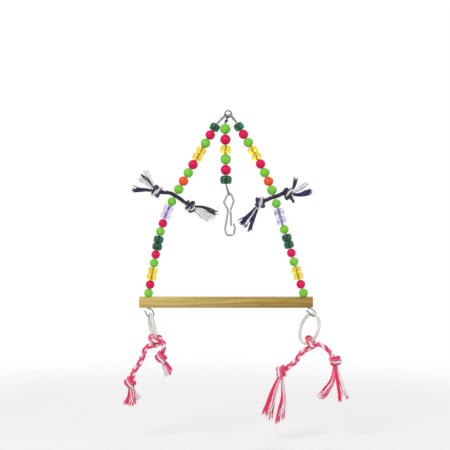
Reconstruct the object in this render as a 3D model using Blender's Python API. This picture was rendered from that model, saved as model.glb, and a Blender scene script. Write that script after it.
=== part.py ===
"""A triangle perch toy for a cage bird, as it hangs.

A wooden perch is held by two beaded wire legs, which meet in a small steel ring. A short beaded
strand with a snap hook hangs folded down inside the triangle. Knotted cotton ropes cross the legs,
and two more are tied round plastic rings under the perch.

The origin is the middle of the apex ring, +Z is up, and the toy lies in the XZ plane with its front
towards -Y. Sizes are in millimetres here and become metres when a shape is made.
"""

import math

import bmesh
import bpy
from mathutils import Matrix, Vector

MM = 0.001

# Clearance left between pieces that touch on the real toy
GAP = 0.3

# Perch, a wooden dowel
PERCH_LENGTH = 152.4
PERCH_DIAMETER = 10.0
PERCH_MIDDLE = -1.9
PERCH_DEPTH_BELOW_RING = 165.6
PERCH_EDGE = 0.5
PERCH_HOLE = 3.2
BEAD_SEAT_DEPTH = 0.8

# Wires
LEG_WIRE = 1.0
HOOK_WIRE = 1.0
SNAP_WIRE = 1.5
RING_WIRE = 1.3
RING_DIAMETER = 7.2
RING_BUTT_GAP = 0.25
EYE_WIDTH = 4.8
EYE_PLAY = 0.65
FOOT_EYE_WIDTH = 6.8
FOOT_EYE_SHOULDER = 1.6
TAIL_GAP = 0.45

# Where the eyes pass through the apex ring, in degrees from +X towards +Z, and how far each one's
# plane is turned from the Y axis
LEFT_EYE = (212.0, 22.0)
RIGHT_EYE = (-32.0, 15.0)
HOOK_EYE = (262.0, 12.0)
SNAP_EYE_TURN = 12.0

# How far in from the perch's ends each leg's foot stands, and leaves its underside
LEFT_FOOT_INSET = 7.2
RIGHT_FOOT_INSET = 6.7
RIGHT_EXIT_INSET = 3.9
FOOT_ABOVE_AXIS = 3.6
LEFT_FOOT_EXIT = PERCH_MIDDLE - PERCH_LENGTH / 2 + LEFT_FOOT_INSET
RIGHT_FOOT_EXIT = PERCH_MIDDLE + PERCH_LENGTH / 2 - RIGHT_EXIT_INSET
RIGHT_FOOT = PERCH_MIDDLE + PERCH_LENGTH / 2 - RIGHT_FOOT_INSET
FOOT_HEIGHT = FOOT_ABOVE_AXIS - PERCH_DEPTH_BELOW_RING

# Where each leg's axis runs, as X and Z: its head beside the ring, its bend, its foot over the perch
LEFT_BEND_SHARE = 0.547
RIGHT_BEND_SHARE = 0.328
LEFT_LEG = (
    (-4.3, 1.3),
    (-57.6, -PERCH_DEPTH_BELOW_RING * LEFT_BEND_SHARE),
    (LEFT_FOOT_EXIT, FOOT_HEIGHT),
)
RIGHT_LEG = (
    (3.1, -0.4),
    (35.0, -PERCH_DEPTH_BELOW_RING * RIGHT_BEND_SHARE),
    (RIGHT_FOOT, FOOT_HEIGHT),
)
LEFT_BEND_RADIUS = 128.0
RIGHT_BEND_RADIUS = 187.0
FOOT_RADIUS = 6.0

# Beads: the round ones are drilled balls, the barrels are rounded tubes. They fill each leg, so the
# legs' beads are a share of the perch's depth as long as they are on a toy 165.6 mm deep
BEAD_BORE = 3.0
BEAD_SHARE = PERCH_DEPTH_BELOW_RING / 165.6
HOOK_SIZES = {"ball": 9.3, "yellow": (9.8, 7.4), "green": (10.5, 7.6)}
UPPER_SIZES = {
    "ball": 8.6 * BEAD_SHARE,
    "green": (8.8, 6.9 * BEAD_SHARE),
    "yellow": (9.0, 6.6 * BEAD_SHARE),
}
LEFT_LOWER_SIZES = {
    "ball": 7.8 * BEAD_SHARE,
    "clear": (8.9, 6.5 * BEAD_SHARE),
    "green": (8.9, 6.4 * BEAD_SHARE),
    "yellow": (8.9, 5.8 * BEAD_SHARE),
}
RIGHT_LOWER_SIZES = {
    "ball": 7.9 * BEAD_SHARE,
    "clear": (8.9, 7.6 * BEAD_SHARE),
    "green": (8.9, 6.5 * BEAD_SHARE),
    "yellow": (8.9, 6.1 * BEAD_SHARE),
}
RIGHT_LOWER_SLACK = 0.35
BARREL_MOUTH = 0.62
BARREL_SHOULDER = 0.93
PAIR_GROOVE = 0.86

# Strings of beads from the top down
HOOK_BEADS = ("lime", "pink", "yellow", "lime", "pink", "green")
UPPER_BEADS = ("green", "pink", "lime", "yellow", "yellow", "pink", "lime", "orange", "lime")
LEFT_LOWER_BEADS = (
    *("lime", "clear", "clear", "pink", "lime", "green", "green"),
    *("pink", "lime", "yellow", "yellow", "pink", "lime"),
)
RIGHT_LOWER_BEADS = (
    *("lime", "clear", "clear", "lime", "green", "green"),
    *("pink", "lime", "yellow", "yellow", "pink", "lime"),
)

# Hook strand: the axis of its beads, as X and Z, and its wrapped neck
STRAND_TOP = (-2.62, -8.2)
STRAND_FOOT = (-1.9, -62.3)
NECK_WRAPS = 2
NECK_WRAP_PITCH = 1.5
NECK_WRAP_START = 0.6

# Snap hook, as X and Z from the bar that the strand's lower eye holds
SNAP_BAR = (1.1, -70.1)
SNAP_BAR_WIDTH = 3.0
SNAP_TOP_BEND = 2.0
SNAP_DIAMOND_LEFT = (-4.9, -7.6)
SNAP_DIAMOND_RIGHT = (3.9, -6.6)
SNAP_NECK_HEIGHT = -14.6
SNAP_NECK_LEFT = -1.1
SNAP_NECK_GAP = 0.45
SNAP_BOWL_LEFT = (-3.8, -31.0)
SNAP_BOWL_BOTTOM = -36.7
SNAP_BOWL_RIGHT = (5.0, -30.6)
SNAP_TIP = (3.7, -26.4)
GATE_KNEE = (1.5, -20.0)
GATE_TIP = (1.5, -28.4)
SNAP_BEND = 1.6
SNAP_BOWL_BEND = 3.0

# Plastic rings: outer diameter, and the oval section's thickness and width
LOOP_DIAMETER = 29.4
LOOP_THICKNESS = 2.4
LOOP_WIDTH = 3.2
LEFT_LOOP_TILT = -9.0
LEFT_LOOP_TURN = 78.0
RIGHT_LOOP_TILT = 21.0
RIGHT_LOOP_TURN = 62.0
LOOP_DROP = 7.6

# Pink and white ropes, each tied round its ring by a full turn
PINK_ROPE = 4.8
PINK_KNOT = 10.2
TURN_PITCH = 5.4
LEFT_TIE = 128.0
RIGHT_TIE = 138.0

# A knot's length along its rope, as a share of its width, and the step along its tails
KNOT_LENGTH = 0.8
TAIL_STEP = 5.5

# Cross ropes, threaded on the legs
CROSS_ROPE = 4.2
CROSS_KNOT = 10.4

# Bead colours made as barrels
BARREL_COLOURS = ("green", "yellow", "clear")

# Segments
BALL_SEGMENTS = 10
BALL_BANDS = 5
ROUND_SEGMENTS = 32
LOOP_SEGMENTS = 30
LOOP_SECTION = 8
TURN_STEP = 22.0

# Colours, roughness and metallic value of each finish
FINISHES = {
    "lime": ((122, 214, 62), 0.35, 0.0),
    "pink": ((226, 14, 92), 0.35, 0.0),
    "orange": ((255, 96, 28), 0.3, 0.0),
    "yellow": ((246, 222, 60), 0.15, 0.0),
    "green": ((0, 96, 62), 0.15, 0.0),
    "clear": ((222, 214, 236), 0.1, 0.0),
    "steel": ((176, 176, 182), 0.25, 1.0),
    "wood": ((196, 170, 96), 0.6, 0.0),
    "white_plastic": ((236, 236, 232), 0.3, 0.0),
    "pink_cotton": ((240, 96, 140), 0.9, 0.0),
    "navy_cotton": ((34, 30, 62), 0.9, 0.0),
}


def linear(channel):
    """One sRGB channel of 0 to 255, as the linear value that a shader takes."""
    share = channel / 255.0
    if share <= 0.04045:
        return share / 12.92
    return ((share + 0.055) / 1.055) ** 2.4


def finish(name):
    """The material of one of FINISHES, made once."""
    made = bpy.data.materials.get(name)
    if made:
        return made
    colour, roughness, metallic = FINISHES[name]
    made = bpy.data.materials.new(name)
    made.use_nodes = True
    shader = made.node_tree.nodes["Principled BSDF"]
    shader.inputs["Base Color"].default_value = (*(linear(c) for c in colour), 1.0)
    shader.inputs["Roughness"].default_value = roughness
    shader.inputs["Metallic"].default_value = metallic
    return made


def spot(place, depth=0.0):
    """A point of the toy from its X and Z, at a depth along Y, in millimetres."""
    return Vector((place[0], depth, place[1]))


def pivot(name, place, parent=None):
    """An empty at a point that the pieces of one moving body hang from."""
    empty = bpy.data.objects.new(name, None)
    empty.empty_display_size = 0.004
    bpy.context.collection.objects.link(empty)
    hang(empty, place, parent)
    return empty


def hang(piece, place, parent):
    """Puts a piece at a point in millimetres, under a parent that isn't turned."""
    piece.parent = parent
    above = Vector((0.0, 0.0, 0.0))
    while parent:
        above += parent.location
        parent = parent.parent
    piece.location = Vector(place) * MM - above


def mesh_piece(name, shape, colour, place, parent, turn=None):
    """An object from a bmesh drawn in millimetres about its own origin."""
    bmesh.ops.scale(shape, vec=(MM, MM, MM), verts=shape.verts)
    bmesh.ops.recalc_face_normals(shape, faces=shape.faces)
    mesh = bpy.data.meshes.new(name)
    shape.to_mesh(mesh)
    shape.free()
    mesh.shade_smooth()
    mesh.set_sharp_from_angle(angle=math.radians(40))
    piece = bpy.data.objects.new(name, mesh)
    bpy.context.collection.objects.link(piece)
    piece.data.materials.append(finish(colour))
    hang(piece, place, parent)
    if turn:
        piece.rotation_mode = "QUATERNION"
        piece.rotation_quaternion = turn
    return piece


def tube_piece(name, points, thickness, colour, place, parent, sides=1, radii=None):
    """A round bar along points in millimetres, with closed ends."""
    curve = bpy.data.curves.new(name, "CURVE")
    curve.dimensions = "3D"
    curve.bevel_depth = thickness * MM / 2
    curve.bevel_resolution = sides
    curve.render_resolution_u = 0
    curve.use_fill_caps = True
    curve.twist_mode = "MINIMUM"
    spline = curve.splines.new("POLY")
    spline.points.add(len(points) - 1)
    for number, (target, point) in enumerate(zip(spline.points, points)):
        target.co = (*((Vector(point) - Vector(place)) * MM), 1.0)
        target.radius = radii[number] if radii else 1.0
    spline.use_smooth = True
    piece = bpy.data.objects.new(name, curve)
    bpy.context.collection.objects.link(piece)
    piece.data.materials.append(finish(colour))
    hang(piece, place, parent)
    return piece


def sweep(line, radii, sides):
    """A bmesh of a round bar along a line, its thickness given at every point."""
    shape = bmesh.new()
    heading = (line[1] - line[0]).normalized()
    side = heading.orthogonal().normalized()
    rings = []
    for number, point in enumerate(line):
        before = line[max(number - 1, 0)]
        after = line[min(number + 1, len(line) - 1)]
        leaving = (after - before).normalized()
        side = heading.rotation_difference(leaving) @ side
        heading = leaving
        other = heading.cross(side)
        ring = []
        for count in range(sides):
            turn = math.tau * count / sides
            reach = (side * math.cos(turn) + other * math.sin(turn)) * radii[number]
            ring.append(shape.verts.new(point + reach))
        rings.append(ring)
    for near, far in zip(rings, rings[1:]):
        for count in range(sides):
            nearby = (count + 1) % sides
            shape.faces.new((near[count], near[nearby], far[nearby], far[count]))
    shape.faces.new(rings[0])
    shape.faces.new(rings[-1])
    return shape


def bar_mesh(name, line, diameter, colour, place, parent, sides=8):
    """A straight or bent round bar as a mesh, drawn where it lies."""
    shape = sweep(line, [diameter / 2] * len(line), sides)
    bmesh.ops.translate(shape, vec=-Vector(place), verts=shape.verts)
    return mesh_piece(name, shape, colour, place, parent)


def guide(piece):
    """Hides a shape that only cuts or joins another."""
    piece.hide_render = True
    piece.display_type = "WIRE"
    return piece


def combine(piece, other, operation):
    """Cuts a guide from a piece, or joins it on."""
    step = piece.modifiers.new(other.name, "BOOLEAN")
    step.operation = operation
    step.object = guide(other)
    step.solver = "EXACT"


def rounded(corners, radii, step=TURN_STEP):
    """A line through corners in space, each turned on an arc of its radius.

    An arc that the straight runs beside it have no room for gets a smaller radius.
    """
    line = [Vector(corners[0])]
    for number in range(1, len(corners) - 1):
        before, corner, after = (Vector(corners[number + k]) for k in (-1, 0, 1))
        arriving = corner - before
        leaving = after - corner
        turn = arriving.angle(leaving)
        if turn < 1e-4:
            continue
        room = min(arriving.length, leaving.length) / 2
        run = min(radii[number - 1] * math.tan(turn / 2), room)
        radius = run / math.tan(turn / 2)
        start = corner - arriving.normalized() * run
        bisector = (leaving.normalized() - arriving.normalized()).normalized()
        centre = corner + bisector * math.hypot(run, radius)
        axis = arriving.cross(leaving).normalized()
        steps = max(2, math.ceil(math.degrees(turn) / step))
        for count in range(steps + 1):
            spun = Matrix.Rotation(turn * count / steps, 3, axis) @ (start - centre)
            line.append(centre + spun)
    line.append(Vector(corners[-1]))
    return line


def smoothed(points, spacing):
    """Points at about one spacing along a smooth curve through the given points."""
    ends = [points[0] * 2 - points[1], *points, points[-1] * 2 - points[-2]]
    line = [points[0]]
    for number in range(1, len(ends) - 2):
        a, b, c, d = ends[number - 1 : number + 3]
        steps = max(1, round((c - b).length / spacing))
        for count in range(1, steps + 1):
            t = count / steps
            near = (c - a) * t + (a * 2 - b * 5 + c * 4 - d) * t**2
            far = (b * 3 - a - c * 3 + d) * t**3
            line.append(b + (near + far) / 2)
    return line


def length_of(line):
    """The length along a line of points."""
    return sum((b - a).length for a, b in zip(line, line[1:]))


def along(line, distance):
    """The point at a distance along a line, and the line's direction there."""
    left = distance
    for a, b in zip(line, line[1:]):
        run = (b - a).length
        if left <= run or b is line[-1]:
            return a + (b - a) * (left / run), (b - a).normalized()
        left -= run
    return line[-1], (line[-1] - line[-2]).normalized()


def centre_of_bead(line, middle, long):
    """Where a bead of a length sits on a line, and which way it points.

    A bead on a bent wire points along the chord between its two ends.
    """
    top, _ = along(line, middle - long / 2)
    bottom, _ = along(line, middle + long / 2)
    return (top + bottom) / 2, (bottom - top).normalized()


def eye(neck, bar, side, width, reach, wire):
    """Corners of a hairpin eye, from its neck round its far end to its cut tail.

    Args: neck is where the wire leaves its last bead or the perch, bar is the middle of the bar
    that the eye holds, side is about the direction of the eye's width, and reach is how far past
    the bar's middle the wire goes.
    """
    out = (bar - neck).normalized()
    side = (side - out * side.dot(out)).normalized()
    end = bar + out * reach
    spread = side * (width / 2)
    cut = neck + out * wire - side * (wire + TAIL_GAP)
    return [end + spread, end - spread, cut]


def turned_side(neck, bar, turn):
    """The direction of an eye's width: the Y axis, turned about the way that the eye points."""
    out = (bar - neck).normalized()
    angle = math.radians(turn)
    flat = out.cross(Vector((0.0, 1.0, 0.0))).normalized()
    return Vector((0.0, math.cos(angle), 0.0)) + flat * math.sin(angle)


def revolve(profile, segments):
    """A bmesh turned about Z from a closed profile of radius and height."""
    shape = bmesh.new()
    corners = [shape.verts.new((radius, 0.0, height)) for radius, height in profile]
    edges = [shape.edges.new((a, b)) for a, b in zip(corners, corners[1:] + corners[:1])]
    bmesh.ops.spin(
        shape,
        geom=corners + edges,
        axis=(0, 0, 1),
        cent=(0, 0, 0),
        angle=math.tau,
        steps=segments,
        use_merge=True,
    )
    bmesh.ops.remove_doubles(shape, verts=shape.verts, dist=1e-5)
    return shape


def ball_length(diameter):
    """The length of a drilled ball, between the rims of its bore."""
    return math.sqrt(diameter**2 - BEAD_BORE**2)


def ball_profile(diameter):
    """A drilled ball's section: its bore and the round outside between the bore's rims."""
    rim = math.asin(BEAD_BORE / diameter)
    profile = []
    for band in range(BALL_BANDS + 1):
        angle = rim + (math.pi - 2 * rim) * band / BALL_BANDS
        profile.append((math.sin(angle) * diameter / 2, math.cos(angle) * diameter / 2))
    return profile


def barrel_profile(diameter, long, count):
    """The section of one barrel bead, or of barrels that lie face to face."""
    radius = diameter / 2
    whole = long * count
    profile = [(BEAD_BORE / 2, whole / 2)]
    for number in range(count):
        top = whole / 2 - long * number
        mouth = BARREL_MOUTH if number == 0 else PAIR_GROOVE
        profile.append((radius * mouth, top))
        profile.append((radius * BARREL_SHOULDER, top - long * 0.22))
        profile.append((radius, top - long * 0.5))
        profile.append((radius * BARREL_SHOULDER, top - long * 0.78))
    profile.append((radius * BARREL_MOUTH, -whole / 2))
    profile.append((BEAD_BORE / 2, -whole / 2))
    return profile


def bead_sizes(colour, sizes):
    """A bead's diameter and length, from the sizes of its string."""
    if colour in sizes:
        return sizes[colour]
    return sizes["ball"], ball_length(sizes["ball"])


def runs_of(row):
    """The beads of a row with those of one colour that lie together counted as one run."""
    runs = []
    for colour in row:
        if runs and runs[-1][0] == colour:
            runs[-1] = (colour, runs[-1][1] + 1)
        else:
            runs.append((colour, 1))
    return runs


def bead_name(string, first, colour, count):
    """A bead's name: its string, its place from the top, and its colour."""
    if count == 1:
        return f"{string}_bead_{first:02d}_{colour}"
    return f"{string}_beads_{first:02d}_{first + count - 1:02d}_{colour}"


def make_bead(name, colour, count, size, place, direction, parent):
    """One bead, or a pair that lies face to face, on its wire."""
    diameter, long = size
    if colour in BARREL_COLOURS:
        shape = revolve(barrel_profile(diameter, long, count), BALL_SEGMENTS)
    else:
        shape = revolve(ball_profile(diameter), BALL_SEGMENTS)
    turn = Vector((0, 0, 1)).rotation_difference(-direction)
    return mesh_piece(name, shape, colour, place, parent, turn)


def stack(beads, start, sizes, slack=0.0):
    """Where the beads of a run sit, counted upwards from a distance along the wire.

    Returns a list of colour, count, size, middle and whole length from the bottom bead up, and
    the distance at which the next piece up may begin.
    """
    placed = []
    edge = start
    for colour, count in reversed(runs_of(beads)):
        diameter, long = bead_sizes(colour, sizes)
        whole = long * count
        placed.append((colour, count, (diameter, long), edge - whole / 2, whole))
        edge -= whole + GAP + slack
    return placed, edge + slack


def distance_at_height(line, height):
    """How far along a falling line it reaches a height."""
    travelled = 0.0
    for a, b in zip(line, line[1:]):
        if b.z <= height:
            return travelled + (b - a).length * (a.z - height) / (a.z - b.z)
        travelled += (b - a).length
    return travelled


class Leg:
    """One leg: its axis, where its beads and its cross rope sit, and its wire's ends."""

    def __init__(self, side, axis, bend, lower_beads, lower_sizes, slack):
        self.side = side
        head, middle, foot = (spot(place) for place in axis)
        self.line = rounded([head, middle, foot], [bend], step=3.0)
        self.last_ball = lower_sizes["ball"]
        perch_top = PERCH_DIAMETER / 2 - PERCH_DEPTH_BELOW_RING
        rest = perch_top + self.last_ball / 2 - BEAD_SEAT_DEPTH
        seated = distance_at_height(self.line, rest)
        bottom = seated + ball_length(self.last_ball) / 2
        lower, edge = stack(lower_beads, bottom, lower_sizes, slack)
        self.crossing = edge - CROSS_ROPE / 2
        upper_start = self.crossing - CROSS_ROPE / 2 - GAP
        upper, self.neck = stack(UPPER_BEADS, upper_start, UPPER_SIZES)
        self.beads = list(reversed(lower + upper))
        self.seat, _ = along(self.line, seated)


LEFT = Leg("left", LEFT_LEG, LEFT_BEND_RADIUS, LEFT_LOWER_BEADS, LEFT_LOWER_SIZES, 0.0)
RIGHT = Leg(
    "right",
    RIGHT_LEG,
    RIGHT_BEND_RADIUS,
    RIGHT_LOWER_BEADS,
    RIGHT_LOWER_SIZES,
    RIGHT_LOWER_SLACK,
)


def ring_point(angle):
    """A point on the middle of the apex ring's wire, at degrees from +X towards +Z."""
    radius = (RING_DIAMETER - RING_WIRE) / 2
    turn = math.radians(angle)
    return Vector((math.cos(turn) * radius, 0.0, math.sin(turn) * radius))


class PlasticRing:
    """A plastic ring hung in a leg's lower eye, turned away from the picture's plane.

    tilt is how far its top leans to +X, and turn is the angle between its plane and XZ.
    """

    def __init__(self, hung_at, tilt, turn):
        self.radius = (LOOP_DIAMETER - LOOP_THICKNESS) / 2
        lean = math.radians(tilt)
        swung = math.radians(turn)
        self.up = Vector((math.sin(lean), 0.0, math.cos(lean)))
        flat = Vector((math.cos(lean), 0.0, -math.sin(lean)))
        self.side = flat * math.cos(swung) + Vector((0.0, -math.sin(swung), 0.0))
        highest = math.atan2(self.side.z, self.up.z)
        self.middle = hung_at - self.offset(math.degrees(highest))
        self.hung_at = hung_at
        self.normal = self.up.cross(self.side).normalized()

    def offset(self, angle):
        """From the ring's middle to its section's middle, at degrees from its top."""
        turn = math.radians(angle)
        return (self.up * math.cos(turn) + self.side * math.sin(turn)) * self.radius

    def point(self, angle):
        """The middle of the ring's section at degrees from its top."""
        return self.middle + self.offset(angle)

    def tangent(self, angle):
        """The ring's direction at degrees from its top."""
        turn = math.radians(angle)
        return self.side * math.cos(turn) - self.up * math.sin(turn)


def loop_hung_at(exit_x):
    """Where a plastic ring's section passes through the eye under the perch."""
    under = -PERCH_DEPTH_BELOW_RING - PERCH_DIAMETER / 2
    eye_end = under - LOOP_DROP
    return Vector((exit_x, 0.0, eye_end + LEG_WIRE / 2 + GAP + LOOP_THICKNESS / 2 + 0.3))


LEFT_LOOP = PlasticRing(loop_hung_at(LEFT_FOOT_EXIT + 2.3), LEFT_LOOP_TILT, LEFT_LOOP_TURN)
RIGHT_LOOP = PlasticRing(loop_hung_at(RIGHT_FOOT_EXIT + 4.6), RIGHT_LOOP_TILT, RIGHT_LOOP_TURN)


def make_perch(frame):
    """The dowel, with a hole and a dished bead seat near each end."""
    middle = Vector((PERCH_MIDDLE, 0.0, -PERCH_DEPTH_BELOW_RING))
    radius = PERCH_DIAMETER / 2
    half = PERCH_LENGTH / 2
    profile = [
        (0.0, half),
        (radius - PERCH_EDGE, half),
        (radius, half - PERCH_EDGE),
        (radius, PERCH_EDGE - half),
        (radius - PERCH_EDGE, -half),
        (0.0, -half),
    ]
    shape = revolve(profile, ROUND_SEGMENTS)
    bmesh.ops.rotate(shape, matrix=Matrix.Rotation(math.pi / 2, 3, "Y"), verts=shape.verts)
    perch = mesh_piece("perch", shape, "wood", middle, frame)
    for leg in (LEFT, RIGHT):
        ball = bmesh.new()
        bmesh.ops.create_icosphere(ball, subdivisions=3, radius=leg.last_ball / 2 + GAP)
        dish = mesh_piece(f"{leg.side}_seat_cutter", ball, "wood", leg.seat, frame)
        combine(perch, dish, "DIFFERENCE")
        start, end = drill_line(leg)
        drill = bar_mesh(f"{leg.side}_drill", [start, end], PERCH_HOLE, "wood", start, frame, 12)
        combine(perch, drill, "DIFFERENCE")


def drill_line(leg):
    """The two ends of the hole through the perch, past both of its faces."""
    foot = leg.line[-1]
    leaving = Vector((foot_exit(leg), 0.0, -PERCH_DEPTH_BELOW_RING - PERCH_DIAMETER / 2))
    out = (leaving - foot).normalized()
    return foot - out * 2.0, leaving + out * 2.0


def foot_exit(leg):
    """Where a leg's wire leaves the perch's underside, as X."""
    return LEFT_FOOT_EXIT if leg is LEFT else RIGHT_FOOT_EXIT


def leg_wire_line(leg, loop, ring_eye):
    """The middle of a leg's wire, from its upper tail round both eyes to its lower tail."""
    neck, heading = along(leg.line, leg.neck)
    angle, turn = ring_eye
    bar = ring_point(angle)
    side = turned_side(neck, bar, turn)
    reach = (RING_WIRE + LEG_WIRE) / 2 + EYE_PLAY
    top = eye(neck, bar, side, EYE_WIDTH, reach, LEG_WIRE)
    foot = leg.line[-1]
    under = Vector((foot_exit(leg), 0.0, -PERCH_DEPTH_BELOW_RING - PERCH_DIAMETER / 2 - GAP))
    low = foot_eye(under, loop)
    tight = [EYE_WIDTH / 2] * 2
    upper = rounded([top[2], top[1], top[0], neck, neck + heading * 2.0], [*tight, 1.0])
    straight = [point for point in leg.line[1:-1] if point.z < neck.z - 2.5]
    wide = [FOOT_EYE_WIDTH / 2] * 2
    lower = rounded([straight[-1], foot, under, *low], [FOOT_RADIUS, 1.0, 1.0, *wide])
    return upper + straight[:-1] + lower


def foot_eye(under, loop):
    """Corners of the round eye under the perch that a plastic ring hangs in."""
    out = (loop.hung_at - under).normalized()
    end = loop.hung_at + out * ((LOOP_WIDTH + LEG_WIRE) / 2 + GAP * 2)
    side = Vector((loop.normal.x, loop.normal.y, 0.0)).normalized() * (FOOT_EYE_WIDTH / 2)
    shoulder = under + out * FOOT_EYE_SHOULDER
    cut = shoulder + out * (LEG_WIRE / 2)
    return [shoulder + side, end + side, end - side, cut - side]


def make_apex_ring(body):
    """The steel ring, bent from one wire whose ends meet at its top."""
    butt = math.degrees(RING_BUTT_GAP / (RING_DIAMETER - RING_WIRE))
    steps = 24
    points = []
    for count in range(steps + 1):
        points.append(ring_point(90 + butt + (360 - 2 * butt) * count / steps))
    tube_piece("apex_ring", points, RING_WIRE, "steel", body.location / MM, body, sides=2)


def strand_axis():
    """The line that the hook strand's beads lie on."""
    return [spot(STRAND_TOP), spot(STRAND_FOOT)]


def hook_wire_line(snap_bar):
    """The middle of the hook strand's wire: lower eye, shank, upper eye and wrapped neck."""
    top, foot = strand_axis()
    angle, turn = HOOK_EYE
    bar = ring_point(angle)
    reach = (RING_WIRE + HOOK_WIRE) / 2 + EYE_PLAY
    upper = eye(top, bar, turned_side(top, bar, turn), EYE_WIDTH, reach, HOOK_WIRE)
    side = turned_side(foot, snap_bar, SNAP_EYE_TURN)
    hold = (SNAP_WIRE + HOOK_WIRE) / 2 + GAP
    lower = eye(foot, snap_bar, side, EYE_WIDTH, hold, HOOK_WIRE)
    tight = [EYE_WIDTH / 2] * 2
    low_line = rounded([top, foot, *lower], [1.0, *tight])
    coil = neck_coil(top, bar)
    shank = (foot - top).normalized()
    top_line = rounded([top + shank * 4.0, top, upper[0], upper[1], coil[0]], [2.0, *tight])
    return list(reversed(low_line[1:])) + top_line[1:-1] + coil


def neck_coil(top, bar):
    """The tail wound round the neck of the upper eye, down towards the first bead."""
    out = (bar - top).normalized()
    side = Vector((0.0, 1.0, 0.0))
    other = out.cross(side).normalized()
    radius = HOOK_WIRE + TAIL_GAP
    steps = 9 * NECK_WRAPS
    points = []
    for count in range(steps + 1):
        share = count / steps
        turn = math.tau * NECK_WRAPS * share + math.pi
        rise = NECK_WRAP_START + NECK_WRAPS * NECK_WRAP_PITCH * (1 - share)
        spin = side * math.cos(turn) + other * math.sin(turn)
        points.append(top + out * rise + spin * radius)
    return points


def snap_spot(place):
    """A point of the snap hook, from its place below the bar at its top."""
    return spot((SNAP_BAR[0] + place[0], SNAP_BAR[1] + place[1]))


def snap_hung_at():
    """The middle of the snap hook's wire where the strand's lower eye pulls on it."""
    bend = snap_spot((0.0, -SNAP_TOP_BEND))
    pull = (bend - spot(STRAND_FOOT)).normalized()
    return bend - pull * SNAP_TOP_BEND


def snap_neck_right():
    """Where the right-hand wire passes the neck, beside the left-hand wire."""
    return SNAP_NECK_LEFT + SNAP_WIRE + SNAP_NECK_GAP


def make_snap(body, gate_body):
    """The snap hook, from its cut tip round the bowl and the diamond, and its sprung gate."""
    neck_right = (snap_neck_right(), SNAP_NECK_HEIGHT)
    corners = [
        SNAP_TIP,
        SNAP_BOWL_RIGHT,
        (SNAP_BOWL_RIGHT[0] - 1.4, SNAP_BOWL_BOTTOM),
        (SNAP_BOWL_LEFT[0] + 1.0, SNAP_BOWL_BOTTOM),
        SNAP_BOWL_LEFT,
        (SNAP_NECK_LEFT, SNAP_NECK_HEIGHT),
        SNAP_DIAMOND_LEFT,
        (-SNAP_BAR_WIDTH / 2, 0.0),
        (SNAP_BAR_WIDTH / 2, 0.0),
        SNAP_DIAMOND_RIGHT,
        neck_right,
    ]
    radii = [
        SNAP_BEND,
        SNAP_BOWL_BEND,
        SNAP_BOWL_BEND,
        SNAP_BOWL_BEND,
        4.0,
        SNAP_BEND,
        SNAP_TOP_BEND,
        SNAP_TOP_BEND,
        SNAP_BEND,
    ]
    line = rounded([snap_spot(place) for place in corners], radii)
    tube_piece("snap_hook", line, SNAP_WIRE, "steel", body_place(body), body, sides=2)
    start = (neck_right[0], neck_right[1] - GAP - 0.3)
    gate = rounded(
        [snap_spot(start), snap_spot(GATE_KNEE), snap_spot(GATE_TIP)], [12.0]
    )
    tube_piece("snap_gate", gate, SNAP_WIRE, "steel", body_place(gate_body), gate_body, sides=2)


def body_place(body):
    """A body's place in millimetres from the toy's origin."""
    place = Vector((0.0, 0.0, 0.0))
    while body:
        place += body.location
        body = body.parent
    return place / MM


def make_plastic_ring(name, ring, body):
    """A closed plastic ring with an oval section."""
    profile = []
    for count in range(LOOP_SECTION):
        turn = math.tau * count / LOOP_SECTION
        out = ring.radius + math.cos(turn) * LOOP_THICKNESS / 2
        profile.append((out, math.sin(turn) * LOOP_WIDTH / 2))
    shape = revolve(profile, LOOP_SEGMENTS)
    basis = Matrix((ring.up, ring.side, ring.normal)).transposed()
    bmesh.ops.rotate(shape, matrix=basis, verts=shape.verts)
    bmesh.ops.translate(shape, vec=ring.middle - body_place(body), verts=shape.verts)
    mesh_piece(name, shape, "white_plastic", body_place(body), body)


def tie_line(ring, tie, left_arm, right_arm):
    """A pink rope's middle: its left arm, one full turn round its ring, and its right arm.

    The arms are offsets, in X, Y and Z, from the middle of the ring's section at the tie.
    """
    hub = ring.point(tie)
    forward = ring.tangent(tie)
    if forward.y > 0:
        forward = -forward
    up = (Vector((0.0, 0.0, 1.0)) - forward * forward.z).normalized()
    right = up.cross(forward).normalized()
    if right.x < 0:
        right = -right
    section = max(LOOP_THICKNESS, LOOP_WIDTH) / 2
    radius = section + GAP + PINK_ROPE / 2
    turns = []
    steps = 14
    for count in range(steps + 1):
        share = count / steps
        turn = math.radians(270 + 360 * share)
        step = forward * (TURN_PITCH * (share - 0.5))
        turns.append(hub + (right * math.cos(turn) + up * math.sin(turn)) * radius + step)
    left = smoothed([hub + Vector(place) for place in left_arm] + [turns[0]], 3.2)
    right_side = smoothed([turns[-1]] + [hub + Vector(place) for place in right_arm], 3.2)
    return left[:-1] + turns + right_side[1:]


def least_gap(line, thickness):
    """The least space between the turns of a tube, measured between its points."""
    least = math.inf
    for number, point in enumerate(line):
        for other in range(number + 1, len(line)):
            run = length_of(line[number : other + 1])
            if run > thickness * 2.2:
                least = min(least, (line[other] - point).length - thickness)
    return least


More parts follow.
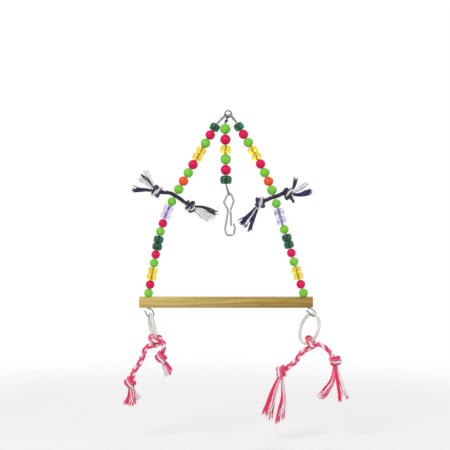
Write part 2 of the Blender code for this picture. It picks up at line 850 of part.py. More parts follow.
def make_knot(name, middle, toward, size, tails, colour, body, parent):
    """A knot with the strands that hang from it, fused into one piece.

    Args: toward is the rope's direction into the knot, size its width, and tails a tuple of
    strands, each the offset of its bend, the offset of its end and its thickness there.
    """
    place = body_place(parent)
    shape = bmesh.new()
    bmesh.ops.create_uvsphere(shape, u_segments=10, v_segments=7, radius=size / 2)
    bmesh.ops.scale(shape, vec=(1.0, 0.84, KNOT_LENGTH), verts=shape.verts)
    turn = Vector((0, 0, 1)).rotation_difference(toward)
    bmesh.ops.rotate(shape, matrix=turn.to_matrix(), verts=shape.verts)
    bmesh.ops.translate(shape, vec=middle - place, verts=shape.verts)
    knot = mesh_piece(name, shape, colour, place, parent)
    profile = []
    for count in range(6):
        angle = math.tau * (count + 0.5) / 6
        profile.append((size * (0.36 + math.cos(angle) * 0.19), size * math.sin(angle) * 0.19))
    band = revolve(profile, 12)
    lean = Matrix.Rotation(math.radians(32), 3, "X") @ Matrix.Rotation(math.radians(11), 3, "Z")
    bmesh.ops.rotate(band, matrix=turn.to_matrix() @ lean, verts=band.verts)
    bmesh.ops.translate(band, vec=middle - place, verts=band.verts)
    wrap = mesh_piece(f"{name}_band", band, colour, place, parent)
    combine(knot, wrap, "UNION")
    for number, (bend, end, thickness) in enumerate(tails):
        start = middle + Vector(bend).normalized() * (0.8 + 0.35 * number)
        route = [start, middle + Vector(bend), middle + Vector(end)]
        line = smoothed(route, TAIL_STEP)
        last = len(line) - 1
        fan = [0.62 - 0.2 * abs(2 * k / last - 0.9) for k in range(last + 1)]
        shape = sweep(line, [thickness * share for share in fan], 6)
        bmesh.ops.translate(shape, vec=-place, verts=shape.verts)
        strand = mesh_piece(f"{name}_strand_{number + 1}", shape, colour, place, parent)
        combine(knot, strand, "UNION")
    return knot


# The pink ropes' arms, as X, Y and Z from the ring's section that they are tied round
LEFT_ARMS = (
    (
        (-20.6, -1.2, -33.2),
        (-17.6, -1.4, -25.6),
        (-12.6, -1.6, -18.6),
        (-10.2, -1.8, -11.4),
        (-6.8, -1.0, -6.4),
    ),
    ((5.2, -5.6, -0.4), (7.5, -5.9, -5.0), (6.2, -5.8, -10.6)),
)
RIGHT_ARMS = (
    (
        (-21.8, -3.0, -22.9),
        (-17.2, -3.0, -19.6),
        (-11.8, -2.8, -14.4),
        (-6.6, -2.4, -7.6),
    ),
    ((7.0, -1.4, -1.8), (12.4, -1.0, -4.4), (16.6, -0.8, -8.8), (19.0, -0.6, -12.4)),
)
LEFT_LOW_TAILS = (
    ((-1.4, 0.0, -9.0), (-1.9, 0.0, -21.0), 4.6),
    ((1.6, -1.5, -9.0), (2.6, -2.0, -20.0), 4.6),
    ((3.0, 1.5, -8.0), (6.9, 2.0, -18.0), 4.4),
)
LEFT_HIGH_TAILS = (
    ((4.6, 0.0, -5.0), (9.2, 0.0, -10.4), 3.4),
    ((4.4, -1.0, -7.0), (8.8, -1.5, -14.2), 3.4),
    ((3.0, 1.4, -8.0), (5.4, 2.0, -17.6), 3.4),
)
RIGHT_LOW_TAILS = (
    ((-7.0, -1.0, -17.0), (-13.6, -1.2, -38.6), 4.4),
    ((-6.6, 1.2, -19.0), (-9.4, 1.6, -39.8), 4.0),
    ((-2.4, -0.6, -18.0), (-4.4, -0.6, -44.4), 4.2),
    ((-0.6, 1.4, -20.0), (0.4, 1.6, -42.6), 4.0),
)
RIGHT_HIGH_TAILS = (
    ((-2.6, -0.6, -17.0), (-10.8, -0.8, -32.0), 4.4),
    ((0.8, 0.6, -16.0), (3.6, 0.6, -35.4), 3.8),
    ((3.4, -0.8, -16.0), (8.0, -1.0, -35.8), 4.0),
)


def make_pink_rope(side, ring, tie, arms, low_tails, high_tails, body):
    """A rope tied round its ring, with a knot and a tassel on each arm."""
    line = tie_line(ring, tie, *arms)
    place = body_place(body)
    tube_piece(f"{side}_pink_rope", line, PINK_ROPE, "pink_cotton", place, body, sides=2)
    print(f"{side}_pink_rope: {length_of(line):.1f} mm long,", end=" ")
    print(f"least gap between its turns {least_gap(line, PINK_ROPE):.2f} mm")
    reach = PINK_KNOT * KNOT_LENGTH / 2 + GAP
    for end, tails in (("low", low_tails), ("high", high_tails)):
        tip, inner = (line[0], line[1]) if end == "low" else (line[-1], line[-2])
        toward = (tip - inner).normalized()
        name = f"{side}_{end}_knot"
        make_knot(name, tip + toward * reach, toward, PINK_KNOT, tails, "pink_cotton", body, body)


LEFT_CROSS_TAILS = (
    (
        ((-9.0, 0.6, 1.6), (-21.0, 0.8, 2.2), 3.0),
        ((-4.4, -0.8, 8.0), (-10.0, -1.0, 18.2), 2.6),
        ((-6.4, 1.0, 4.4), (-13.6, 1.4, 8.6), 2.8),
    ),
    (
        ((11.0, -0.8, -1.0), (24.2, -1.0, -6.4), 2.8),
        ((9.0, 0.8, -5.0), (20.6, 1.0, -11.0), 3.0),
        ((5.4, -0.4, -6.0), (11.2, -0.4, -13.4), 3.0),
    ),
)
RIGHT_CROSS_TAILS = (
    (
        ((-8.4, 0.8, -8.6), (-18.2, 1.0, -17.4), 3.0),
        ((-4.6, -0.8, -11.0), (-9.4, -1.0, -24.6), 3.0),
        ((-3.4, 0.8, -10.0), (-4.2, 1.2, -21.2), 2.8),
    ),
    (
        ((4.6, 0.6, 6.4), (6.4, 0.8, 14.6), 3.0),
        ((9.6, -0.6, -0.6), (20.4, -0.8, 1.6), 3.0),
        ((9.0, 0.8, 3.4), (18.6, 1.0, 5.6), 2.4),
    ),
)

# Each cross rope's middle, as distances across its leg and down along it from where they cross
LEFT_CROSS_ROUTE = ((-14.4, 4.2), (-10.0, 2.6), (-4.8, 0.2), (4.6, 0.1), (10.4, 1.1), (14.6, 1.2))
RIGHT_CROSS_ROUTE = ((-12.0, 1.0), (-8.4, 0.6), (-4.4, 0.1), (4.4, -0.3), (8.8, -1.0), (11.4, 0.6))


def make_cross_rope(leg, route, tails, body):
    """A short rope threaded on a leg between two beads, knotted and frayed at both ends."""
    middle, heading = along(leg.line, leg.crossing)
    across = Vector((-heading.z, 0.0, heading.x))
    line = smoothed([middle + across * over + heading * down for over, down in route], 3.0)
    name = f"{leg.side}_cross_rope"
    place = body_place(body)
    rope = bar_mesh(name, line, CROSS_ROPE, "navy_cotton", place, body)
    for number, (tip, inner) in enumerate(((line[0], line[1]), (line[-1], line[-2]))):
        toward = (tip - inner).normalized()
        knot = make_knot(
            f"{name}_knot_{number + 1}",
            tip + toward * 1.5,
            toward,
            CROSS_KNOT,
            tails[number],
            "navy_cotton",
            body,
            body,
        )
        combine(rope, knot, "UNION")
    bore = [middle - heading * CROSS_ROPE, middle + heading * CROSS_ROPE]
    hole = LEG_WIRE + 2 * GAP
    combine(rope, bar_mesh(f"{name}_bore", bore, hole, "wood", place, body), "DIFFERENCE")


def make_leg_beads(leg, frame):
    """The beads of one leg, named by their place from the top."""
    number = 1
    for colour, count, size, middle, whole in leg.beads:
        place, direction = centre_of_bead(leg.line, middle, whole)
        name = bead_name(leg.side, number, colour, count)
        make_bead(name, colour, count, size, place, direction, frame)
        number += count


def make_strand_beads(body):
    """The beads of the hook strand, spread evenly over its shank."""
    line = strand_axis()
    beads = runs_of(HOOK_BEADS)
    sizes = [bead_sizes(colour, HOOK_SIZES) for colour, _ in beads]
    total = sum(long for _, long in sizes)
    spare = (length_of(line) - total) / (len(sizes) + 1)
    edge = spare
    for number, ((colour, count), size) in enumerate(zip(beads, sizes)):
        place, direction = centre_of_bead(line, edge + size[1] / 2, size[1])
        name = bead_name("hook", number + 1, colour, count)
        make_bead(name, colour, count, size, place, direction, body)
        edge += size[1] + spare


def clear_scene():
    """Removes whatever the file holds."""
    for leftover in list(bpy.data.objects):
        bpy.data.objects.remove(leftover)


def build():
    """Makes every piece, each under the pivot of the body that it moves with."""
    clear_scene()
    frame = pivot("swing_frame", (0, 0, 0))
    make_perch(frame)
    left = leg_wire_line(LEFT, LEFT_LOOP, LEFT_EYE)
    right = leg_wire_line(RIGHT, RIGHT_LOOP, RIGHT_EYE)
    tube_piece("left_leg_wire", left, LEG_WIRE, "steel", (0, 0, 0), frame)
    tube_piece("right_leg_wire", right, LEG_WIRE, "steel", (0, 0, 0), frame)
    make_leg_beads(LEFT, frame)
    make_leg_beads(RIGHT, frame)
    ring_body = pivot("apex_ring_pivot", (0, 0, ring_point(LEFT_EYE[0]).z), frame)
    make_apex_ring(ring_body)
    strand_body = pivot("hook_strand_pivot", ring_point(HOOK_EYE[0]), ring_body)
    wire = hook_wire_line(snap_hung_at())
    tube_piece("hook_wire", wire, HOOK_WIRE, "steel", body_place(strand_body), strand_body)
    make_strand_beads(strand_body)
    snap_body = pivot("snap_pivot", snap_hung_at(), strand_body)
    gate_top = snap_spot((snap_neck_right(), SNAP_NECK_HEIGHT))
    gate_body = pivot("snap_gate_pivot", gate_top, snap_body)
    make_snap(snap_body, gate_body)
    for side, ring, tie, arms, low, high in (
        ("left", LEFT_LOOP, LEFT_TIE, LEFT_ARMS, LEFT_LOW_TAILS, LEFT_HIGH_TAILS),
        ("right", RIGHT_LOOP, RIGHT_TIE, RIGHT_ARMS, RIGHT_LOW_TAILS, RIGHT_HIGH_TAILS),
    ):
        ring_pivot = pivot(f"{side}_ring_pivot", ring.hung_at, frame)
        make_plastic_ring(f"{side}_ring", ring, ring_pivot)
        rope_pivot = pivot(f"{side}_rope_pivot", ring.point(tie), ring_pivot)
        make_pink_rope(side, ring, tie, arms, low, high, rope_pivot)
    for leg, route, tails in (
        (LEFT, LEFT_CROSS_ROUTE, LEFT_CROSS_TAILS),
        (RIGHT, RIGHT_CROSS_ROUTE, RIGHT_CROSS_TAILS),
    ):
        middle, _ = along(leg.line, leg.crossing)
        make_cross_rope(leg, route, tails, pivot(f"{leg.side}_cross_pivot", middle, frame))


build()
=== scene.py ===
"""The finished look of the triangle perch toy.

Moulded and transparent beads, drawn wire, a turned wooden perch, plastic rings and laid cotton
ropes with their knots and frayed ends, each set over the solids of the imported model. Lengths are
in millimetres here, in the frame of the model, and become metres when a piece is finished.
"""

import logging
import math
import random
from dataclasses import dataclass, field
from enum import Enum
from typing import Iterable, Sequence

import bmesh
import bpy
from mathutils import Matrix, Vector


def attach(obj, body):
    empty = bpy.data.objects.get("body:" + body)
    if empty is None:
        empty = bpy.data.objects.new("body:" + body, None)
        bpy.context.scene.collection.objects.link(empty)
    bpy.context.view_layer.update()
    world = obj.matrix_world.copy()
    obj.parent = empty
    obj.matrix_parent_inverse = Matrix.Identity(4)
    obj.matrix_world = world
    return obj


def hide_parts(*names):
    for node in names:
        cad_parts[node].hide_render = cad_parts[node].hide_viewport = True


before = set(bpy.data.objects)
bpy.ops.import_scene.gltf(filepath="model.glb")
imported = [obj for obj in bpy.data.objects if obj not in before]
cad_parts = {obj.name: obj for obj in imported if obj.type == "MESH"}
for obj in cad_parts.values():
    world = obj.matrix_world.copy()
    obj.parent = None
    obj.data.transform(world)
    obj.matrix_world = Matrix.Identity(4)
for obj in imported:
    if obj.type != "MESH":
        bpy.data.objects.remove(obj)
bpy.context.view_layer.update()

log = logging.getLogger("perch_toy")

MM = 0.001
GAP = 0.3
STRAIGHT = 1e-4
PARALLEL = 0.97
PLAIT_WIDTH = 0.98
PLAIT_DEPTH = 0.62
FRONT = Vector((0.0, -1.0, 0.0))
BACK = Vector((0.0, 1.0, 0.0))

Line = list[Vector]
Stretch = tuple[float, float, float]


# Lines in space


def spot(place: Sequence[float]) -> Vector:
    """A point in the toy's plane from its X and Z."""
    return Vector((place[0], 0.0, place[1]))


def length_of(line: Line) -> float:
    """The length along a line of points."""
    return sum((b - a).length for a, b in zip(line, line[1:]))


def along(line: Line, distance: float) -> tuple[Vector, Vector]:
    """The point at a distance along a line, and the line's direction there.

    Args:
        line: the points of the line.
        distance: how far along it.

    Returns:
        The point, and the direction of the stretch that it is on.
    """
    left = distance
    for a, b in zip(line, line[1:]):
        run = (b - a).length
        if left <= run or b is line[-1]:
            return a + (b - a) * (left / run), (b - a).normalized()
        left -= run
    return line[-1], (line[-1] - line[-2]).normalized()


def rounded(corners: Line, radii: Sequence[float], step: float = 6.0) -> Line:
    """A line through corners, each turned on an arc of its radius.

    Args:
        corners: the points that the line turns at, with its two ends.
        radii: one radius for each inner corner, made smaller where the straights are short.
        step: degrees between the points of an arc.

    Returns:
        The points of the line.
    """
    line = [Vector(corners[0])]
    for number in range(1, len(corners) - 1):
        before, corner, after = (Vector(corners[number + k]) for k in (-1, 0, 1))
        arriving = corner - before
        leaving = after - corner
        turn = arriving.angle(leaving)
        if turn < STRAIGHT:
            continue
        room = min(arriving.length, leaving.length) / 2
        run = min(radii[number - 1] * math.tan(turn / 2), room)
        radius = run / math.tan(turn / 2)
        start = corner - arriving.normalized() * run
        bisector = (leaving.normalized() - arriving.normalized()).normalized()
        centre = corner + bisector * math.hypot(run, radius)
        axis = arriving.cross(leaving).normalized()
        steps = max(2, math.ceil(math.degrees(turn) / step))
        for count in range(steps + 1):
            swing = Matrix.Rotation(turn * count / steps, 3, axis)
            line.append(centre + swing @ (start - centre))
    line.append(Vector(corners[-1]))
    return line


def smoothed(points: Line, spacing: float) -> Line:
    """Points at about one spacing along a smooth curve through the given points.

    Args:
        points: what the curve passes through.
        spacing: about how far apart its points are.

    Returns:
        The points of the curve, with the same two ends.
    """
    ends = [points[0] * 2 - points[1], *points, points[-1] * 2 - points[-2]]
    line = [points[0].copy()]
    for number in range(1, len(ends) - 2):
        a, b, c, d = ends[number - 1 : number + 3]
        steps = max(1, round((c - b).length / spacing))
        for count in range(1, steps + 1):
            t = count / steps
            near = (c - a) * t + (a * 2 - b * 5 + c * 4 - d) * t**2
            far = (b * 3 - a - c * 3 + d) * t**3
            line.append(b + (near + far) / 2)
    return line


def evened(line: Line, spacing: float) -> Line:
    """The same line with points at equal distances.

    Args:
        line: the points of the line.
        spacing: about how far apart the new points are.

    Returns:
        The new points, with the same two ends.
    """
    whole = length_of(line)
    steps = max(2, round(whole / spacing))
    even = [line[0].copy()]
    travelled = 0.0
    number = 0
    for count in range(1, steps):
        target = whole * count / steps
        while travelled + (line[number + 1] - line[number]).length < target:
            travelled += (line[number + 1] - line[number]).length
            number += 1
        run = line[number + 1] - line[number]
        even.append(line[number] + run * ((target - travelled) / run.length))
    even.append(line[-1].copy())
    return even


@dataclass
class Course:
    """A line with a steady cross direction at each point, which strands are laid around."""

    line: Line
    start_side: Vector | None = None
    headings: Line = field(init=False)
    sides: Line = field(init=False)
    runs: list[float] = field(init=False)

    def __post_init__(self) -> None:
        """Works out the headings, cross directions and distances."""
        self.headings = []
        self.sides = []
        self.runs = [0.0]
        last = len(self.line) - 1
        for number in range(last + 1):
            before = self.line[max(number - 1, 0)]
            after = self.line[min(number + 1, last)]
            self.headings.append((after - before).normalized())
        first = self.headings[0]
        side = self.start_side or first.orthogonal()
        if abs(side.normalized().dot(first)) > PARALLEL:
            side = first.orthogonal()
        side = (side - first * side.dot(first)).normalized()
        for number, heading in enumerate(self.headings):
            if number:
                turn = self.headings[number - 1].rotation_difference(heading)
                side = turn @ side
                side = (side - heading * side.dot(heading)).normalized()
                self.runs.append(self.runs[-1] + (self.line[number] - self.line[number - 1]).length)
            self.sides.append(side)

    def beside(self, number: int, reach: float, turn: float) -> Vector:
        """The point at a reach from the line, turned about it in radians.

        Args:
            number: which point of the line.
            reach: how far from it.
            turn: radians from the cross direction there.

        Returns:
            The point.
        """
        side = self.sides[number]
        other = self.headings[number].cross(side)
        return self.line[number] + (side * math.cos(turn) + other * math.sin(turn)) * reach

    def laid(self, reach: float, start: float, lay: float) -> Line:
        """A strand's line that winds about this one once in each lay.

        Args:
            reach: how far the strand's middle is from this line.
            start: radians round this line at its first point.
            lay: the length of one full turn, less than nought for a left-hand one.

        Returns:
            The strand's middle.
        """
        return [
            self.beside(number, reach, start + math.tau * run / lay)
            for number, run in enumerate(self.runs)
        ]

    def plaited(self, reach: float, start: float, lay: float) -> Line:
        """A strand's line that crosses over and under from edge to edge, as in a plait.

        Args:
            reach: how far the strand swings from this line.
            start: radians through its swing at the first point.
            lay: the length of one full swing.

        Returns:
            The strand's middle.
        """
        line = []
        for number, run in enumerate(self.runs):
            turn = start + math.tau * run / lay
            side = self.sides[number]
            other = self.headings[number].cross(side)
            across = side * math.sin(turn) * PLAIT_WIDTH + other * math.sin(2 * turn) * PLAIT_DEPTH
            line.append(self.line[number] + across * reach)
        return line


# Shapes


def lay_map(
    face: bmesh.types.BMFace,
    lay: bmesh.types.BMLayerItem,
    turns: Sequence[float],
    runs: Sequence[float],
) -> None:
    """Writes a face's map, with the corners past the seam one turn further on.

    Args:
        face: the face.
        lay: the layer of the map.
        turns: turns round the piece at each corner of the face.
        runs: millimetres along the piece at each corner.
    """
    seam = max(turns) - min(turns) > 0.5
    for loop, turn, run in zip(face.loops, turns, runs):
        over = 1.0 if seam and turn < 0.5 else 0.0
        loop[lay].uv = (turn + over, run)


def tube(line: Line, radii: Sequence[float], sides: int, material: int = 0) -> bmesh.types.BMesh:
    """A round bar along a line with a map of its run and its way round.

    Args:
        line: the middle of the bar.
        radii: the bar's radius at each point.
        sides: how many faces it has round it.
        material: the place of its finish among its piece's finishes.

    Returns:
        A closed shape whose map holds turns round the bar and millimetres along it.
    """
    # Turns start on the front side, so that the painted highlight band of the wire finishes faces the
    # camera.
    course = Course(line, FRONT)
    shape = bmesh.new()
    turned = shape.verts.layers.float.new("turned")
    travelled = shape.verts.layers.float.new("travelled")
    lay = shape.loops.layers.uv.new("lay")
    made = bmesh.ops.create_circle(shape, cap_ends=False, segments=sides, radius=1.0)
    ring = made["verts"]
    for count, corner in enumerate(ring):
        corner[turned] = count / sides
    edges = list(shape.edges)
    ends = [edges]
    standing = Matrix.Identity(4)
    for number, point in enumerate(line):
        heading = course.headings[number]
        side = course.sides[number]
        basis = Matrix((side, heading.cross(side), heading)).transposed()
        basis = basis @ Matrix.Scale(radii[number], 3)
        here = Matrix.Translation(point) @ basis.to_4x4()
        if number:
            grown = bmesh.ops.extrude_edge_only(shape, edges=edges)["geom"]
            ring = [part for part in grown if isinstance(part, bmesh.types.BMVert)]
            fresh = set(ring)
            edges = [
                part
                for part in grown
                if isinstance(part, bmesh.types.BMEdge)
                and part.verts[0] in fresh
                and part.verts[1] in fresh
            ]
        bmesh.ops.transform(shape, matrix=here @ standing.inverted(), verts=ring)
        standing = here
        for corner in ring:
            corner[travelled] = course.runs[number]
    ends.append(edges)
    for face in shape.faces:
        turns = [loop.vert[turned] for loop in face.loops]
        lay_map(face, lay, turns, [loop.vert[travelled] for loop in face.loops])
        face.material_index = material
    for rim in ends:
        caps = bmesh.ops.holes_fill(shape, edges=rim, sides=sides)["faces"]
        for cap in caps:
            cap.material_index = material
            for loop in cap.loops:
                loop[lay].uv = (loop.vert[turned], loop.vert[travelled])
    for name in ("turned", "travelled"):
        shape.verts.layers.float.remove(shape.verts.layers.float[name])
    bmesh.ops.recalc_face_normals(shape, faces=shape.faces)
    return shape


def spun(profile: Sequence[tuple[float, float]], segments: int) -> bmesh.types.BMesh:
    """A shape turned about Z from a closed section of radius and height, with a map of turns.

    Args:
        profile: the section's corners, each a radius and a height.
        segments: how many steps the full turn has.

    Returns:
        A shape whose map holds turns about Z and heights in millimetres.
    """
    shape = bmesh.new()
    lay = shape.loops.layers.uv.new("lay")
    corners = [shape.verts.new((radius, 0.0, height)) for radius, height in profile]
    edges = [shape.edges.new((a, b)) for a, b in zip(corners, corners[1:] + corners[:1])]
    bmesh.ops.spin(
        shape,
        geom=corners + edges,
        axis=(0, 0, 1),
        cent=(0, 0, 0),
        angle=math.tau,
        steps=segments,
        use_merge=True,
    )
    bmesh.ops.remove_doubles(shape, verts=shape.verts, dist=1e-5)
    bmesh.ops.recalc_face_normals(shape, faces=shape.faces)
    for face in shape.faces:
        turns = [math.atan2(loop.vert.co.y, loop.vert.co.x) / math.tau + 0.5 for loop in face.loops]
        lay_map(face, lay, turns, [loop.vert.co.z for loop in face.loops])
    return shape


def gathered(shapes: Iterable[bmesh.types.BMesh]) -> bmesh.types.BMesh:
    """Several shapes as one, which are used up.

    Args:
        shapes: the shapes.

    Returns:
        One shape with all their faces.
    """
    whole = bmesh.new()
    for shape in shapes:
        spare = bpy.data.meshes.new("spare")
        shape.to_mesh(spare)
        shape.free()
        whole.from_mesh(spare)
        bpy.data.meshes.remove(spare)
    return whole


def finished(
    name: str,
    shape: bmesh.types.BMesh,
    finishes: Sequence[bpy.types.Material],
    body: str,
    slot: str,
    nodes: Sequence[str] = (),
    crease: float = 40.0,
) -> bpy.types.Object:
    """Makes a shape a finished piece that rides on a body.

    Args:
        name: the piece's name.
        shape: its shape in millimetres, which is used up.
        finishes: its materials in the order of its faces' numbers.
        body: the body that it moves with.
        slot: the name of the material slot that it stands for, which is not used.
        nodes: the solids of the model that it replaces.
        crease: the angle in degrees past which an edge stays sharp.

    Returns:
        The piece's object, which sits at the origin.
    """
    bmesh.ops.scale(shape, vec=(MM, MM, MM), verts=shape.verts)
    mesh = bpy.data.meshes.new(name)
    shape.to_mesh(mesh)
    shape.free()
    mesh.shade_smooth()
    mesh.set_sharp_from_angle(angle=math.radians(crease))
    piece = bpy.data.objects.new(name, mesh)
    bpy.context.collection.objects.link(piece)
    for material in finishes:
        mesh.materials.append(material)
    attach(piece, body)
    if nodes:
        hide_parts(*nodes)
    log.info("%s: %d faces, on %s", name, len(mesh.polygons), body)
    return piece


# Shader sheets


class Signal:
    """A shader socket that is added, multiplied and divided like a number."""

    def __init__(self, sheet: "Sheet", socket: bpy.types.NodeSocket) -> None:
        """Holds a socket of a material's sheet."""
        self.sheet = sheet
        self.socket = socket

    def sum(self, operation: str, *terms: object) -> "Signal":
        """A Math node over this socket's sheet."""
        return self.sheet.out("ShaderNodeMath", {"operation": operation}, dict(enumerate(terms)))

    def __add__(self, other: object) -> "Signal":
        """This plus another."""
        return self.sum("ADD", self, other)

    __radd__ = __add__

    def __sub__(self, other: object) -> "Signal":
        """This less another."""
        return self.sum("SUBTRACT", self, other)

    def __rsub__(self, other: object) -> "Signal":
        """Another less this."""
        return self.sum("SUBTRACT", other, self)

    def __mul__(self, other: object) -> "Signal":
        """This times another."""
        return self.sum("MULTIPLY", self, other)

    __rmul__ = __mul__

    def __truediv__(self, other: object) -> "Signal":
        """This over another."""
        return self.sum("DIVIDE", self, other)

    def __pow__(self, other: object) -> "Signal":
        """This to a power."""
        return self.sum("POWER", self, other)

    def wave(self) -> "Signal":
        """The sine of this number of whole turns, from 0 to 1."""
        return self.sum("SINE", self * math.tau) * 0.5 + 0.5

    def held(self) -> "Signal":
        """This kept between 0 and 1."""
        return self.sheet.out("ShaderNodeMath", {"operation": "ADD", "use_clamp": True}, {0: self, 1: 0.0})

    def ramp(self, low: float, high: float) -> "Signal":
        """From 0 at a low value to 1 at a high one, eased at both ends.

        Args:
            low: the value that gives 0.
            high: the value that gives 1.

        Returns:
            The eased share.
        """
        return self.sheet.out(
            "ShaderNodeMapRange",
            {"interpolation_type": "SMOOTHSTEP"},
            {"Value": self, "From Min": low, "From Max": high},
        )


Socketed = Signal | float | tuple[float, ...]


class Sheet:
    """The node sheet of one material."""

    def __init__(self, name: str, **constants: object) -> None:
        """Starts a material whose shader sockets take the constants given.

        Args:
            name: the material's name.
            constants: values for the shader's sockets, with underscores in place of spaces.
        """
        self.material = bpy.data.materials.new(name)
        self.material.use_nodes = True
        self.nodes = self.material.node_tree.nodes
        self.links = self.material.node_tree.links
        self.shader = self.nodes["Principled BSDF"]
        for key, value in constants.items():
            self.shader.inputs[key.replace("_", " ")].default_value = value

    def node(
        self, kind: str, settings: dict[str, object], sockets: dict[int | str, Socketed]
    ) -> bpy.types.Node:
        """Adds a node.

        Args:
            kind: the node's type.
            settings: what is set on the node first.
            sockets: the values or links of its sockets.

        Returns:
            The node.
        """
        made = self.nodes.new(kind)
        for key, value in settings.items():
            setattr(made, key, value)
        for key, value in sockets.items():
            if isinstance(value, Signal):
                self.links.new(value.socket, made.inputs[key])
            else:
                made.inputs[key].default_value = value
        return made

    def out(
        self,
        kind: str,
        settings: dict[str, object],
        sockets: dict[int | str, Socketed],
        output: int | str = 0,
    ) -> Signal:
        """Adds a node and gives one of its outputs."""
        return Signal(self, self.node(kind, settings, sockets).outputs[output])

    def place(self) -> Signal:
        """The point on the piece, in metres."""
        return self.out("ShaderNodeTexCoord", {}, {}, "Object")

    def stretched(self, scale: Stretch) -> Signal:
        """The point on the piece with each axis scaled."""
        return self.out("ShaderNodeMapping", {}, {"Vector": self.place(), "Scale": scale})

    def lay(self) -> tuple[Signal, Signal]:
        """The turn round a tube, and the millimetres along it.

        Returns:
            Turns round the piece, and millimetres along it.
        """
        mapped = self.out("ShaderNodeUVMap", {"uv_map": "lay"}, {})
        parts = self.node("ShaderNodeSeparateXYZ", {}, {0: mapped})
        return Signal(self, parts.outputs[0]), Signal(self, parts.outputs[1])

    def noise(self, point: Signal, scale: float, detail: float = 3.0) -> Signal:
        """A noise from 0 to 1 at a point."""
        return self.out("ShaderNodeTexNoise", {}, {"Vector": point, "Scale": scale, "Detail": detail})

    def blend(self, share: Socketed, first: Socketed, second: Socketed) -> Signal:
        """One colour passing into another."""
        return self.out("ShaderNodeMix", {"data_type": "RGBA"}, {0: share, 6: first, 7: second}, 2)

    def feed(self, socket: str, value: Signal) -> None:
        """Links a value to one of the shader's sockets."""
        self.links.new(value.socket, self.shader.inputs[socket])

    def relief(self, height: Signal, depth: float, strength: float = 1.0) -> None:
        """Feeds the shader's normal from a height, whose full swing is a depth in millimetres."""
        sockets = {"Height": height, "Distance": depth * MM, "Strength": strength}
        self.feed("Normal", self.out("ShaderNodeBump", {}, sockets))


SCREEN_KNEE = 0.04045
SCREEN_SLOPE = 12.92
SCREEN_OFFSET = 0.055
SCREEN_POWER = 2.4


@dataclass(frozen=True)
class Tone:
    """A colour as a screen shows it, 0 to 255 in each channel."""

    red: int
    green: int
    blue: int

    def linear(self, share: float = 1.0) -> tuple[float, float, float, float]:
        """The colour as a shader takes it, made darker by a share.

        Args:
            share: how much of its light is kept.

        Returns:
            Its red, green and blue light, with a full alpha.
        """
        channels = []
        for channel in (self.red, self.green, self.blue):
            value = channel / 255.0
            if value <= SCREEN_KNEE:
                light = value / SCREEN_SLOPE
            else:
                light = ((value + SCREEN_OFFSET) / (1.0 + SCREEN_OFFSET)) ** SCREEN_POWER
            channels.append(light * share)
        return (channels[0], channels[1], channels[2], 1.0)


# Finishes


@dataclass(frozen=True)
class MouldedPlastic:
    """Glossy opaque bead plastic, cloudy inside and finely scuffed."""

    name: str
    tone: Tone
    cloud: Tone
    glow: float = 0.1
    coat: float = 0.08
    gloss: float = 0.14
    sheen: float = 0.08
    cloudiness: float = 260.0
    scuffing: Stretch = (900.0, 260.0, 500.0)
    ripples: float = 420.0
    roughness: float = 0.2
    worn: float = 0.22
    depth: float = 0.05

    def made(self) -> bpy.types.Material:
        """Mixes the plastic's cloudy tone, its scuffs and its gloss.

        Returns:
            The material.
        """
        sheet = Sheet(
            self.name,
            Coat_Weight=self.coat,
            Coat_Roughness=0.08,
            Specular_IOR_Level=self.gloss,
            Subsurface_Weight=self.glow,
            Subsurface_Scale=0.002,
            Sheen_Weight=self.sheen,
            Sheen_Roughness=0.35,
            IOR=1.5,
        )
        point = sheet.place()
        cloud = sheet.noise(point, self.cloudiness).ramp(0.3, 0.75)
        sheet.feed("Base Color", sheet.blend(cloud, self.tone.linear(), self.cloud.linear()))
        scuffs = sheet.noise(sheet.stretched(self.scuffing), 1.0, 4.0)
        sheet.feed("Roughness", scuffs * self.worn + self.roughness)
        ripples = sheet.noise(point, self.ripples, 2.0)
        sheet.relief(ripples + scuffs * 0.25, self.depth, 0.5)
        return sheet.material


@dataclass(frozen=True)
class ClearPlastic:
    """Tinted bead plastic, see-through by its share, with flow marks and thin painted streaks that stand
    in for the edges and lines that refraction shows in it.
    """

    name: str
    tone: Tone
    painted_refraction_tone: Tone
    through: float = 0.95
    roughness: float = 0.04
    gloss: float = 0.5
    coat: float = 0.3
    flowing: float = 300.0
    painted_refraction_count: float = 5.0
    wander: float = 150.0
    breaks: float = 230.0
    worn: float = 0.05
    depth: float = 0.04

    def made(self) -> bpy.types.Material:
        """Mixes the plastic's tint, its flow marks and its painted refraction streaks.

        Returns:
            The material.
        """
        sheet = Sheet(
            self.name,
            Transmission_Weight=self.through,
            IOR=1.46,
            Specular_IOR_Level=self.gloss,
            Coat_Weight=self.coat,
        )
        point = sheet.place()
        flow = sheet.noise(point, self.flowing, 2.0)
        tinted = sheet.blend(flow.ramp(0.3, 0.8), self.tone.linear(), self.tone.linear(0.86))
        turn, _ = sheet.lay()
        wander = sheet.noise(point, self.wander, 1.0) * 2.0
        # Painted refraction: thin streaks round the bead in a darker tone (a lighter one on the green)
        # that stand in for the edges and the wire seen through clear plastic.
        streaks = (turn * self.painted_refraction_count + wander).wave().ramp(0.76, 0.98)
        streaks = streaks * sheet.noise(point, self.breaks, 1.0).ramp(0.34, 0.54)
        sheet.feed("Base Color", sheet.blend(streaks * 0.85, tinted, self.painted_refraction_tone.linear()))
        sheet.feed("Roughness", flow * self.worn + self.roughness)
        sheet.relief(flow + streaks * 0.3, self.depth, 0.3)
        return sheet.material


